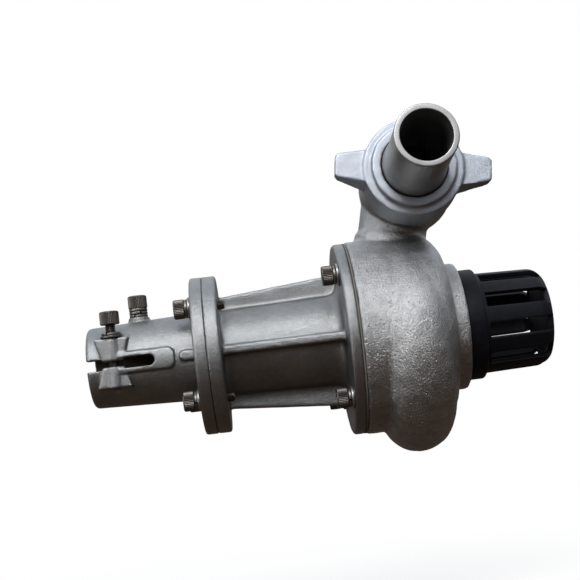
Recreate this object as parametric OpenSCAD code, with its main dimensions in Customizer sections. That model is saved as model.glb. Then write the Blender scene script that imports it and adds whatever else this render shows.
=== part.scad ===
// Water pump head that clamps on the tube of a brush cutter.
// The shaft runs along X, the outlet neck rises along Z and the hose tail points to -Y.
// The origin is the middle of the clamp mouth, where the brush cutter tube goes in.
// All lengths are in millimetres.

/* [Tube clamp] */
// diameter of the brush cutter tube and of the clamp bore
tube_d = 28; // [27:0.5:28.5]
// depth of the tube socket
tube_depth = 42; // [41:0.5:43]
// diameter of the hole that joins the socket to the flange
socket_neck_d = 23; // [20:0.5:24]
// length of the sleeve up to its flange
sleeve_len = 61.6; // [61:0.2:62.4]
// diameter of the sleeve at its mouth
sleeve_d = 46.4; // [46:0.2:47]
// diameter of the sleeve where it meets the flange
sleeve_end_d = 50.8; // [49:0.2:52]
// rounding of the mouth rim
sleeve_rim_r = 2.6; // [1:0.2:3]
// width of the clamp slit
slit_w = 6.2; // [5:0.2:6.6]
// length of the clamp slit with its round end
slit_len = 38.6; // [37:0.2:40]
// length of the raised pad around the slit end
pad_len = 49.6; // [48:0.2:50.4]
// width of the raised pad
pad_w = 11.8; // [11:0.2:13]
// corner rounding of the raised pad
pad_r = 3.6; // [2:0.2:4]
// height of the raised pad over the sleeve
pad_rise = 1.7; // [1:0.1:2]
// where the short rib before the flange starts
stub_x = 52.6; // [52:0.2:54]
// width of the short rib before the flange
stub_w = 5.4; // [4:0.2:6]
// distance of the clamp screw from the mouth
ear_x = 15.4; // [15:0.2:16]
// distance of the clamp screw from the shaft axis
ear_y = 20.8; // [20.6:0.2:21.2]
// diameter of the two clamp bosses
ear_d = 9.8; // [9:0.2:10.4]
// gap between the two clamp bosses
ear_gap = 3.2; // [2:0.2:4]
// height of the upper clamp boss over the shaft axis
ear_top = 14.6; // [14:0.2:15.4]
// depth of the lower clamp boss under the shaft axis
ear_low = 13.8; // [13:0.2:14.6]
// reach of the clamp flanks from the shaft axis
ear_reach = 24.3; // [24:0.1:25]
// width of the clamp flanks at the slit
ear_flank_w = 12; // [11:0.5:13]
// width of the clamp flanks at their far ends
ear_flare_w = 19.4; // [17:0.2:20]
// diameter of the seat cut for the clamp washers
ear_seat_d = 13.4; // [13:0.2:14]
// distance of the locating screw from the mouth
lock_x = 30; // [29:0.2:31]
// diameter of the locating screw boss
lock_boss_d = 12.4; // [12:0.2:13]
// height of the locating screw boss over the shaft axis
lock_boss_top = 26.4; // [26:0.2:27]

/* [Clamp flange] */
// distance from the circle of the flange screws to the rims of both flanges
flange_edge = 9; // [8.6:0.2:9.4]
// thickness of the flange on the clamp
clamp_flange_t = 7.2; // [7:0.1:7.6]
// thickness of the flange on the bearing bracket
bracket_flange_t = 8; // [7.6:0.1:8.4]
// chamfer on the flange rims
flange_chamfer = 0.8; // [0.4:0.1:1.2]
// diameter of the circle through the four flange screws
flange_bolt_circle = 73; // [72:0.5:74]
// diameter of the locating step between the flanges
spigot_d = 44; // [43:0.5:45]
// length of the locating step
spigot_len = 3; // [2:0.2:4]

/* [Bearing bracket] */
// length from the clamp side flange face to the wet face of the disc
bracket_len = 83.4; // [83:0.1:84]
// diameter of the bracket tube at the flange
bracket_tube_d = 49; // [48:0.5:50]
// diameter of the bracket tube at the disc
bracket_tube_end_d = 52; // [50:0.5:53]
// rounding between the tube and the disc
bracket_fillet_r = 6; // [4:0.5:7]
// thickness of the four ribs
rib_t = 5; // [4:0.2:6]
// distance of the rib edge from the axis at the flange
rib_start_r = 31.8; // [31:0.2:33]
// distance of the rib edge from the axis at the disc
rib_end_r = 38.4; // [38:0.2:40]
// how far the rim of the closing disc lies under the drum surface
disc_step = 0.5; // [0.1:0.1:0.8]
// thickness of the disc
disc_t = 6.3; // [6:0.1:7]
// rounding of the disc rim
disc_rim_r = 1.6; // [0.8:0.2:2]
// distance of the bearing shoulder behind the wet face of the disc
bearing_shoulder_back = 21.2; // [20.6:0.2:21.4]
// distance of the first bearing from the flange face
lead_bearing_at = 11.2; // [10.8:0.2:11.6]
// hole diameter between the bearings and the seal
seal_gallery_d = 24; // [23:0.5:25]
// diameter of the pocket for the seal seat
seat_pocket_d = 26.4; // [26:0.2:27]
// depth of the pocket for the seal seat
seat_pocket_depth = 7.5; // [7:0.1:8]

/* [Volute] */
// thickness of the gasket between the disc and the volute
casing_gasket_t = 0.8; // [0.6:0.1:1]
// distance from the impeller chamber to the outside of the drum
drum_wall = 12.5; // [12.3:0.1:12.8]
// axial length of the drum with its front shoulder
drum_len = 54; // [53.6:0.2:54.4]
// rounding of the front shoulder
shoulder_r = 16; // [14:0.5:17]
// distance of the middle of the scroll from the gasket face
scroll_mid = 30.8; // [30.4:0.2:31.4]
// radius of the round scroll section
scroll_r = 20.1; // [19.6:0.1:20.4]
// how far the scroll stands out from the drum at the bottom
scroll_rise = 13.5; // [12:0.5:14.5]
// how deep the scroll starts under the drum surface beside the neck
scroll_sink = 1.5; // [1:0.1:2]
// how much further out the scroll runs on the far side
scroll_far_rise = 2.5; // [2:0.1:3]
// turn of the scroll on the far side in degrees, from the bottom up
scroll_far_turn = 135; // [130:1:137]
// radius of the ball that closes the scroll behind the neck
scroll_ball_r = 21.1; // [20.8:0.1:21.4]
// how far the closing ball runs on past the far turn
scroll_ball_run = 5; // [4.6:0.1:5.4]
// radius of the water way in the first half of the scroll
scroll_bore_r = 14; // [13:0.5:15]
// wall thickness of the scroll
scroll_wall = 4.5; // [4:0.25:5]
// diameter of the collar around the inlet
collar_d = 73.8; // [73:0.2:75]
// length of the collar in front of the shoulder
collar_len = 8.4; // [8:0.2:8.8]
// rounding of the collar rim
collar_rim_r = 1.6; // [0.8:0.2:2]
// diameter of the inlet thread
inlet_thread_d = 50; // [49:0.5:51]
// depth of the inlet thread
inlet_thread_depth = 14; // [13.6:0.2:14.4]
// diameter of the inlet eye
eye_d = 37; // [36:0.5:38]
// diameter of the impeller chamber
chamber_d = 87; // [86:0.5:88]
// depth of the impeller chamber at its edge
chamber_depth = 44; // [43.6:0.2:44.4]
// depth of the impeller chamber at the eye
chamber_eye_depth = 46; // [45.6:0.2:46.6]
// distance from the impeller chamber to the casing screws
casing_bolt_wall = 4.85; // [4.65:0.05:5]
// depth of the casing screw holes
casing_hole_depth = 12; // [11.4:0.2:12.4]

/* [Outlet neck] */
// distance of the neck from the gasket face
neck_at = 26.4; // [26:0.2:26.8]
// radius of the neck
neck_r = 20.1; // [19.8:0.1:20.4]
// radius of the neck where it flares into the drum
neck_base_r = 21.8; // [21:0.2:22.4]
// length of the flare at the neck base
neck_flare_len = 3; // [2:0.5:4]
// lean of the neck towards the inlet in degrees
neck_lean = 14; // [12:0.5:15]
// radius of the elbow ball
elbow_r = 27.4; // [27:0.1:27.6]
// wall thickness of the elbow ball
elbow_wall = 4.4; // [4:0.2:5]
// distance of the elbow ball behind the nut face
elbow_back = 44; // [43:0.5:45]
// radius of the water way in the neck
neck_bore_r = 16; // [15:0.2:16.4]
// distance of the outlet from the gasket face
outlet_at = 40.8; // [40.4:0.2:41.2]
// height of the outlet axis at the nut face
outlet_z = 87.6; // [87.4:0.1:88]
// distance of the nut face in front of the shaft axis
outlet_y = 47; // [46.8:0.1:47.4]
// upward tilt of the outlet in degrees
outlet_tilt = 4.5; // [3:0.5:6]
// diameter of the outlet thread
outlet_thread_d = 44; // [43.5:0.1:44.2]
// distance of the thread seat behind the nut face
outlet_seat_back = 7; // [6.8:0.1:7.4]

/* [Wing nut and hose tail] */
// outer diameter of the wing nut
nut_d = 56; // [55.6:0.2:56.4]
// length of the wing nut without its front hub
nut_len = 22; // [21.6:0.2:22.2]
// diameter of the front hub of the wing nut
nut_hub_d = 47; // [46:0.5:48]
// height of the front hub of the wing nut
nut_hub_h = 4; // [3:0.25:4.5]
// turn of the wings below the shaft direction in degrees
wing_turn = 8.4; // [0:0.2:12]
// distance of the wing tips from the outlet axis
wing_tip_r = 43.6; // [43:0.2:44]
// width of the wings at the root
wing_root_w = 20; // [19:0.5:21]
// width of the wings at the tip
wing_tip_w = 14; // [13:0.5:15]
// corner cut on the wing tips
wing_corner = 1.6; // [0.8:0.2:2]
// how far the wings sit behind the nut face
wing_set = 1.2; // [0.6:0.2:1.6]
// thickness of the wings at the tip
wing_tip_t = 6.4; // [5:0.2:7]
// thickness of the wings at the root
wing_root_t = 19; // [18:0.5:19.5]
// outer diameter of the hose tail at the nut
tail_root_d = 36.2; // [36:0.1:36.4]
// outer diameter of the straight hose seat
tail_tip_d = 33.8; // [33:0.2:34.6]
// length of the straight hose seat with its chamfer
tail_seat_len = 36; // [30:0.5:40]
// length of the hose tail in front of the nut face
tail_len = 54; // [50:0.5:58]
// bore of the hose tail
tail_bore_d = 27.5; // [26:0.5:28]
// diameter of the collar that the nut holds
tail_collar_d = 43.4; // [43.2:0.1:43.6]
// thickness of the collar that the nut holds
tail_collar_t = 4; // [3.6:0.1:4.2]
// chamfer on the mouth of the hose tail
tail_chamfer = 0.8; // [0.4:0.1:1.2]
// outer diameter of the hose tail gasket
tail_gasket_d = 43; // [42:0.2:43.2]
// thickness of the hose tail gasket
tail_gasket_t = 2; // [1.6:0.1:2.2]

/* [Strainer] */
// diameter of the strainer ring
strainer_ring_d = 64.4; // [64:0.2:65]
// thickness of the strainer ring
strainer_ring_t = 10.2; // [9:0.2:11]
// chamfer on the rim of the strainer ring
strainer_chamfer = 1; // [0.4:0.2:1.4]
// diameter of the basket behind the ring
basket_d = 59; // [58.6:0.2:59.6]
// diameter of the basket before its end rounding
basket_end_d = 56.8; // [56:0.2:57.6]
// length of the basket with its ring
basket_len = 50.3; // [49.5:0.2:51.1]
// rounding of the basket end
basket_corner_r = 8.4; // [7.6:0.4:8.8]
// wall thickness of the basket
basket_wall = 3; // [2.6:0.2:3.4]
// number of slots around the basket
slot_count = 10; // [8:1:12]
// width of the basket slots
slot_w = 9; // [7.4:0.2:9.4]
// distance from the ring to the start of the slots
slot_start = 2; // [1:0.5:3]
// radius that the slots leave closed in the end wall
slot_end_r = 24.8; // [24:0.2:25]
// turn of the first bar from the top in degrees
bar_turn = 12.8; // [0:0.2:36]
// bore of the threaded strainer neck
strainer_bore_d = 40; // [39:0.5:41]
// thickness of the inlet gasket
inlet_gasket_t = 2; // [1.6:0.1:2.2]
// inner diameter of the inlet gasket
inlet_gasket_bore = 40; // [39:0.5:41]

/* [Screws and washers] */
// diameter of all the screw threads
screw_d = 6; // [5.6:0.1:6.2]
// diameter of the socket heads
head_d = 11; // [10:0.2:11.4]
// height of the flange and casing screw heads
head_h = 6.2; // [6:0.1:6.6]
// height of the two clamp screw heads
clamp_head_h = 7.4; // [7:0.1:8]
// width of the hexagon sockets over the corners
socket_d = 5.8; // [5:0.1:6]
// depth of the hexagon sockets
socket_depth = 3.2; // [2.5:0.1:3.5]
// edge rounding of the screw heads as a chamfer
head_chamfer = 0.5; // [0.3:0.1:0.7]
// thickness of the spring washers
spring_t = 1.8; // [1.6:0.1:2]
// diameter of the spring washers
spring_d = 10.6; // [10:0.2:11]
// width of the split in the spring washers
split_w = 0.9; // [0.6:0.1:1.2]
// thickness of the plain washers
washer_t = 1.4; // [1.2:0.1:1.6]
// diameter of the plain washers
washer_d = 12.4; // [12:0.1:12.6]
// length of the flange screws under their heads
flange_screw_len = 22.4; // [21.6:0.2:23]
// length of the casing screws under their heads
casing_screw_len = 21; // [20.4:0.2:21.6]
// length of the clamp screw under its head
clamp_screw_len = 34; // [32:0.5:35]
// bare length of the clamp screw between its head and its washer
clamp_screw_slack = 4.6; // [2:0.2:5.6]
// length of the locating screw under its head
lock_screw_len = 17.4; // [16.6:0.2:17.6]
// number of spring washers under the locating screw
lock_spring_count = 3; // [2:1:3]

/* [Shaft and bearings] */
// distance of the shaft end from the clamp mouth
shaft_start = 44; // [43.6:0.2:45]
// diameter of the shaft in the bearings
shaft_d = 15; // [14.8:0.1:15]
// diameter of the shaft in the seal and the impeller
shaft_wet_d = 12; // [11.8:0.1:12]
// distance of the step of the shaft behind the wet face of the disc
shaft_step_back = 18.4; // [17.8:0.2:18.8]
// diameter of the thread at the impeller end
shaft_thread_d = 10; // [9.6:0.2:10]
// length of the thread at the impeller end
shaft_thread_len = 12; // [11:0.5:13]
// root diameter of the splined drive socket
drive_bore_d = 8; // [7.6:0.1:8.2]
// depth of the splined drive socket
drive_bore_depth = 22; // [20:0.5:24]
// number of splines in the drive socket
spline_count = 9; // [7:1:9]
// size of the spline grooves
spline_d = 1.4; // [1.2:0.1:1.6]
// outer diameter of the bearings
bearing_d = 35; // [34.6:0.1:35.2]
// width of the bearings
bearing_w = 11; // [10.8:0.1:11.2]
// diameter of the bearing balls
ball_d = 5.94; // [5.8:0.01:5.96]
// number of balls in each bearing
ball_count = 8; // [7:1:8]
// outer diameter of the bearing inner rings
race_inner_d = 20.8; // [20.4:0.1:21]
// inner diameter of the bearing outer rings
race_outer_d = 29.2; // [29:0.1:29.6]
// width of the ball cages
cage_w = 7.4; // [7:0.1:7.8]
// thickness of the ball cages
cage_t = 1.8; // [1.6:0.1:2]
// outer diameter of the spacer between the bearings
spacer_d = 19.6; // [19:0.1:20]
// width of the dust seal in front of the bearings
dust_seal_w = 6; // [5.6:0.1:6.4]
// gap between the dust seal and the snap ring
dust_seal_gap = 1; // [0.5:0.1:1.2]
// thickness of the snap rings
snap_t = 1.2; // [1:0.1:1.4]
// depth of the snap ring grooves
snap_depth = 0.8; // [0.6:0.1:1]
// width of the snap ring bands
snap_band = 2.4; // [2:0.1:2.8]
// width of the gap in the snap rings
snap_gap = 5; // [4:0.5:6]

/* [Shaft seal] */
// outer diameter of the ceramic seal seat
seat_d = 21; // [20.6:0.1:21.4]
// length of the ceramic seal seat
seat_len = 5.2; // [5:0.1:5.4]
// gap between the ceramic seat and the turning shaft
seat_gap = 0.3; // [0.2:0.05:0.5]
// how far the rubber cup ends behind the face of the ceramic seat
cup_back = 1; // [0.6:0.1:1.4]
// outer diameter of the carbon seal face
face_d = 18.6; // [18:0.1:19]
// length of the carbon seal face
face_len = 3.6; // [3.4:0.1:4]
// outer diameter of the seal bellows
bellows_d = 17; // [16.6:0.1:17.4]
// outer diameter of the seal spring
seal_spring_d = 23; // [22:0.2:24]
// wire diameter of the seal spring
seal_wire_d = 1.8; // [1.4:0.1:2]
// number of turns in the seal spring
seal_turns = 4; // [3:1:5]
// outer diameter of the two spring holders
holder_d = 24.4; // [24:0.2:25]
// thickness of the two spring holders
holder_t = 1.2; // [1:0.1:1.4]

/* [Impeller] */
// outer diameter of the impeller
impeller_d = 82; // [80:0.5:83]
// distance of the impeller plate from the gasket face
impeller_at = 26; // [25.6:0.2:26.2]
// thickness of the impeller plate
impeller_plate_t = 3; // [2.6:0.2:3.4]
// height of the vanes over the plate
vane_h = 13.6; // [13:0.2:14]
// number of the vanes
vane_count = 6; // [4:1:6]
// thickness of the vanes
vane_t = 3; // [2.4:0.2:3.4]
// radius of the vane curve
vane_r = 26; // [25:0.5:28]
// distance of the vane outer ends from the plate rim
vane_inset = 0.5; // [0.3:0.1:1]
// distance of the vane inner ends from the axis
vane_start_r = 16; // [15:0.5:17]
// diameter of the impeller hub
hub_d = 20; // [19:0.5:21]
// length of the impeller hub behind the plate
hub_back = 9; // [8.6:0.2:9.4]
// length of the impeller hub in front of the plate
hub_front = 6; // [5:0.5:7]
// side of the square impeller key
key_w = 3; // [2.6:0.1:3.2]
// distance of the impeller key from the end of the hub
key_inset = 1; // [0.6:0.1:1.4]
// length of the impeller key
key_len = 12; // [10:0.5:13]
// diameter of the impeller washer
impeller_washer_d = 18; // [17:0.5:19]
// width of the impeller nut over its corners
impeller_nut_d = 18.4; // [18:0.2:19]
// height of the impeller nut
impeller_nut_h = 8; // [7:0.5:8.5]

/* [Fits] */
// gap between pieces that are pressed or screwed together
fit_gap = 0.02; // [0.01:0.01:0.05]
// gap between turning and still round faces
run_gap = 0.08; // [0.05:0.01:0.1]
// gap around screws in their plain holes
hole_gap = 0.3; // [0.2:0.05:0.4]
// gap between the threads that turn
thread_gap = 0.35; // [0.3:0.05:0.5]
// overrun of the cuts
over = 1; // [0.5:0.5:1]

/* [Hidden] */
$fn = 72;
// facets of the large round shapes in the preview
round_fn = 36;
// part of the width that the rounding of a full round end takes
round_share = 0.49;
// bracket and volute stations along the shaft
joint_x = sleeve_len + clamp_flange_t;
wet_x = joint_x + bracket_len;
gasket_x = wet_x + casing_gasket_t;
disc_x = wet_x - disc_t;
front_x = gasket_x + drum_len;
collar_x = front_x + collar_len;
scroll_x = gasket_x + scroll_mid;
// diameters and radii
flange_d = flange_bolt_circle + 2 * flange_edge;
drum_d = chamber_d + 2 * drum_wall;
disc_d = drum_d - 2 * disc_step;
casing_bolt_circle = chamber_d + 2 * casing_bolt_wall;
tube_r = tube_d / 2;
drum_r = drum_d / 2;
chamber_r = chamber_d / 2;
screw_r = screw_d / 2;
hole_r = screw_r + hole_gap;
tap_r = screw_r + fit_gap;
shaft_r = shaft_d / 2;
wet_r = shaft_wet_d / 2;
bearing_r = bearing_d / 2;
ball_r = ball_d / 2;
pitch_r = (race_inner_d + race_outer_d) / 4;
groove_r = ball_r + run_gap;
// bearing stations
bearing_end_x = wet_x - bearing_shoulder_back;
rear_bearing_x = bearing_end_x - bearing_w;
lead_bearing_x = joint_x + lead_bearing_at;
bore_snap_x = lead_bearing_x - snap_t;
dust_seal_x = bore_snap_x - dust_seal_w - dust_seal_gap;
// shaft seal stations
seat_x = wet_x - seat_pocket_depth;
face_x = wet_x - seat_pocket_depth + seat_len + (seat_pocket_d - seat_d) / 4 + fit_gap;
hub_x = gasket_x + impeller_at - hub_back;
plate_x = gasket_x + impeller_at;
nose_x = plate_x + impeller_plate_t + hub_front;
// outlet frame
neck_x = gasket_x + neck_at;
outlet_x = gasket_x + outlet_at;
elbow_turn = 90 - outlet_tilt;
hub_back_s = nut_len + fit_gap;
nut_thread_r = outlet_thread_d / 2 + thread_gap;
nut_bore_r = tail_root_d / 2 + thread_gap;
// strainer stations
neck_end_x = collar_x - inlet_thread_depth + inlet_gasket_t;
basket_x = collar_x + basket_len;

// points on an arc in the profile plane, given as distance along X and radius
function arc(x, r, size, a0, a1, n) =
  [for (i = [0:n]) let (a = a0 + (a1 - a0) * i / n) [x + size * cos(a), r + size * sin(a)]];

// a solid of revolution about the shaft axis; the profile lists distance along X and radius
module turned(profile) {
  rotate([0, 90, 0]) rotate_extrude() polygon([for (p = profile) [p[1], p[0]]]);
}

// a ring or a rod about the shaft axis
module ring(x0, x1, r_out, r_in = 0) {
  difference() {
    translate([x0, 0, 0]) rotate([0, 90, 0]) cylinder(h = x1 - x0, r = r_out);
    if (r_in > 0) translate([x0 - over, 0, 0]) rotate([0, 90, 0]) cylinder(h = x1 - x0 + 2 * over, r = r_in);
  }
}

// a closed skin over rings of points
module skin(rings) {
  n = len(rings[0]);
  m = len(rings);
  sides = [for (i = [0:m - 2]) for (j = [0:n - 1]) let (k = (j + 1) % n)
    each [[i * n + j, (i + 1) * n + j, (i + 1) * n + k], [i * n + j, (i + 1) * n + k, i * n + k]]];
  caps = [[for (j = [0:n - 1]) j], [for (j = [n - 1:-1:0]) (m - 1) * n + j]];
  polyhedron([for (r = rings) each r], concat(sides, caps));
}

// the frame of the outlet: local Z runs out along the outlet axis from the nut face
module at_outlet() {
  translate([outlet_x, -outlet_y, outlet_z]) rotate([elbow_turn, 0, 0]) children();
}

// four copies on a circle, between the ribs
module on_circle(x, circle) {
  for (a = [45:90:315]) rotate([a, 0, 0]) translate([x, 0, circle / 2]) rotate([0, -90, 0]) children();
}

// a socket head screw with its head above the local XY plane
module cap_screw(height, length) {
  difference() {
    union() {
      cylinder(h = height - head_chamfer, d = head_d);
      translate([0, 0, height - head_chamfer])
        cylinder(h = head_chamfer, r1 = head_d / 2, r2 = head_d / 2 - head_chamfer);
      translate([0, 0, -length]) cylinder(h = length, d = screw_d);
    }
    translate([0, 0, height - socket_depth]) cylinder(h = socket_depth + over, d = socket_d, $fn = 6);
  }
}

// a split spring washer that lies on the local XY plane
module spring_washer() {
  difference() {
    cylinder(h = spring_t, d = spring_d);
    translate([0, 0, -over]) cylinder(h = spring_t + 2 * over, r = hole_r);
    rotate([30, 0, 0]) translate([0, -split_w / 2, -spring_d]) cube([spring_d, split_w, 2 * spring_d]);
  }
}

// a plain washer that lies on the local XY plane
module plain_washer() {
  difference() {
    cylinder(h = washer_t, d = washer_d);
    translate([0, 0, -over]) cylinder(h = washer_t + 2 * over, r = hole_r);
  }
}

// outer shape of the clamp sleeve, grown by a given height
module sleeve_shape(grow) {
  rim_r = sleeve_d / 2 + grow - sleeve_rim_r;
  turned(concat([[0, 0]], arc(sleeve_rim_r, rim_r, sleeve_rim_r, 180, 90, 6),
    [[sleeve_len + over, sleeve_end_d / 2 + grow], [sleeve_len + over, 0]]));
}

// flat outline with one end rounded at its corners
module round_end(x0, x1, width, r) {
  translate([x0, -width / 2]) square([x1 - x0 - r, width]);
  translate([x0, r - width / 2]) square([x1 - x0, width - 2 * r]);
  for (s = [-1, 1]) translate([x1 - r, s * (width / 2 - r)]) circle(r = r);
}

// one clamp ear: a flared flank with a round boss, drawn upwards from the slit
module ear(height) {
  low = ear_gap / 2;
  rotate([90, 0, 0]) linear_extrude(height = ear_reach)
    polygon([[ear_x - ear_flank_w / 2, low], [ear_x + ear_flank_w / 2, low],
      [ear_x + ear_flare_w / 2, height], [ear_x - ear_flare_w / 2, height]]);
  translate([ear_x, -ear_y, low]) cylinder(h = height - low, d = ear_d);
}

module tube_clamp() {
  color("silver") difference() {
    union() {
      difference() {
        union() {
          sleeve_shape(0);
          intersection() {
            sleeve_shape(pad_rise);
            union() {
              rotate([90, 0, 0]) linear_extrude(height = sleeve_d) round_end(ear_x, pad_len, pad_w, pad_r);
              mirror([1, 0, 0]) rotate([90, 0, 0]) linear_extrude(height = sleeve_d)
                round_end(-sleeve_len - over, -stub_x, stub_w, stub_w * round_share);
            }
          }
          translate([lock_x, 0, tube_r]) cylinder(h = lock_boss_top - tube_r, d = lock_boss_d);
        }
        rotate([90, 0, 0]) linear_extrude(height = sleeve_d)
          round_end(-over, slit_len, slit_w, slit_w * round_share);
      }
      ear(ear_top);
      mirror([0, 0, 1]) ear(ear_low);
      turned([[sleeve_len, 0], [sleeve_len, flange_d / 2 - flange_chamfer],
        [sleeve_len + flange_chamfer, flange_d / 2], [joint_x, flange_d / 2], [joint_x, 0]]);
    }
    ring(-over, tube_depth, tube_r);
    ring(tube_depth - over, joint_x + over, socket_neck_d / 2);
    ring(joint_x - spigot_len, joint_x + over, spigot_d / 2 + fit_gap);
    translate([ear_x, -ear_y, 0]) cylinder(h = sleeve_d, r = hole_r);
    translate([ear_x, -ear_y, -sleeve_d]) cylinder(h = sleeve_d, r = tap_r);
    translate([ear_x, -ear_y, ear_top]) cylinder(h = sleeve_d, d = ear_seat_d);
    translate([lock_x, 0, 0]) cylinder(h = sleeve_d, r = tap_r);
    on_circle(joint_x + over, flange_bolt_circle) cylinder(h = clamp_flange_t + 2 * over, r = hole_r);
  }
}

module clamp_screw() {
  color("dimgray") translate([ear_x, -ear_y, ear_top + washer_t + spring_t + clamp_screw_slack])
    cap_screw(clamp_head_h, clamp_screw_len);
}

module clamp_spring_washer() {
  color("gray") translate([ear_x, -ear_y, ear_top + washer_t]) rotate([0, 0, 250]) spring_washer();
}

module clamp_washer() {
  color("gainsboro") translate([ear_x, -ear_y, ear_top]) plain_washer();
}

module locating_screw() {
  color("dimgray") translate([lock_x, 0, lock_boss_top + lock_spring_count * (spring_t + fit_gap)])
    cap_screw(clamp_head_h, lock_screw_len);
}

module locating_spring_washers() {
  color("gray") for (i = [0:lock_spring_count - 1])
    translate([lock_x, 0, lock_boss_top + i * (spring_t + fit_gap)]) rotate([0, 0, 250 + 40 * i])
      spring_washer();
}

module flange_screws() {
  color("dimgray") on_circle(sleeve_len - washer_t - spring_t, flange_bolt_circle)
    cap_screw(head_h, flange_screw_len);
}

module flange_spring_washers() {
  color("gray") on_circle(sleeve_len - washer_t, flange_bolt_circle) spring_washer();
}

module flange_washers() {
  color("gainsboro") on_circle(sleeve_len, flange_bolt_circle) plain_washer();
}

module bearing_bracket() {
  flange_end = joint_x + bracket_flange_t;
  color("silver") difference() {
    union() {
      turned(concat([[joint_x, 0], [joint_x, flange_d / 2],
          [flange_end - flange_chamfer, flange_d / 2], [flange_end, flange_d / 2 - flange_chamfer]],
        [[flange_end, bracket_tube_d / 2 + flange_chamfer]], [[flange_end + flange_chamfer, bracket_tube_d / 2]],
        arc(disc_x - bracket_fillet_r, bracket_tube_end_d / 2 + bracket_fillet_r, bracket_fillet_r, -90, 0, 6),
        arc(disc_x + disc_rim_r, disc_d / 2 - disc_rim_r, disc_rim_r, 180, 90, 5),
        [[wet_x, disc_d / 2], [wet_x, 0]]));
      ring(joint_x - spigot_len, joint_x + over, spigot_d / 2);
      for (a = [0:90:270]) rotate([a, 0, 0]) translate([0, rib_t / 2, 0]) rotate([90, 0, 0])
        linear_extrude(height = rib_t) polygon([[joint_x + over, bearing_r + over],
          [joint_x + over, rib_start_r], [disc_x + over, rib_end_r], [disc_x + over, bearing_r + over]]);
    }
    ring(joint_x - spigot_len - over, bearing_end_x, bearing_r + fit_gap);
    ring(joint_x, wet_x + over, seal_gallery_d / 2);
    ring(wet_x - seat_pocket_depth, wet_x + over, seat_pocket_d / 2 + fit_gap);
    ring(bore_snap_x, lead_bearing_x, bearing_r + snap_depth);
    on_circle(flange_end + over, flange_bolt_circle) cylinder(h = bracket_flange_t + 2 * over, r = tap_r);
    on_circle(wet_x + over, casing_bolt_circle) cylinder(h = disc_t + 2 * over, r = hole_r);
  }
}

module casing_screws() {
  color("dimgray") on_circle(disc_x - washer_t - spring_t, casing_bolt_circle)
    cap_screw(head_h, casing_screw_len);
}

module casing_spring_washers() {
  color("gray") on_circle(disc_x - washer_t, casing_bolt_circle) spring_washer();
}

module casing_washers() {
  color("gainsboro") on_circle(disc_x, casing_bolt_circle) plain_washer();
}

module casing_gasket() {
  color("darkslategray") difference() {
    ring(wet_x, gasket_x, disc_d / 2, chamber_r);
    on_circle(gasket_x + over, casing_bolt_circle) cylinder(h = casing_gasket_t + 2 * over, r = hole_r);
  }
}

// one turn of the scroll: a round section on an arc that is lifted off the shaft axis
module scroll_arc(lift, reach, size, from, turn) {
  translate([scroll_x, 0, lift]) rotate([0, 90, 0]) rotate([0, 0, from])
    rotate_extrude(angle = turn, $fn = round_fn) translate([reach, 0]) circle(r = size, $fn = round_fn);
}

// the scroll: it grows from the neck down the near side and runs up the far side to the neck
module scroll(near_r, far_r, wall) {
  near_reach = drum_r - near_r - wall + (scroll_rise - scroll_sink) / 2;
  far_reach = drum_r - far_r - wall + scroll_rise + scroll_far_rise / 2;
  scroll_arc(-(scroll_rise + scroll_sink) / 2, near_reach, near_r, 180, 180);
  scroll_arc(scroll_far_rise / 2, far_reach, far_r, 0, scroll_far_turn);
  translate([scroll_x, far_reach * sin(scroll_far_turn) + scroll_ball_run * cos(scroll_far_turn),
    scroll_far_rise / 2 - far_reach * cos(scroll_far_turn) + scroll_ball_run * sin(scroll_far_turn)])
    sphere(r = scroll_ball_r - wall, $fn = round_fn);
}

// the leaning neck up to the middle of the elbow ball, with a flare at its base
module neck(size, start, base_r, flare_len) {
  height = (outlet_z - start) / cos(neck_lean);
  flare_end = (drum_r - start) / cos(neck_lean) + base_r - size;
  translate([neck_x, 0, start]) rotate([0, neck_lean, 0]) rotate_extrude()
    polygon([[0, 0], [base_r, 0], [base_r, flare_end - flare_len], [size, flare_end], [size, height], [0, height]]);
}

// the elbow ball with its round end behind the nut, about the outlet axis
module elbow_ball() {
  translate([0, 0, -elbow_back]) rotate_extrude($fn = round_fn) union() {
    intersection() {
      circle(r = elbow_r, $fn = round_fn);
      translate([0, -elbow_r]) square(elbow_r);
    }
    square([elbow_r, elbow_back - hub_back_s]);
  }
}

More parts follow.
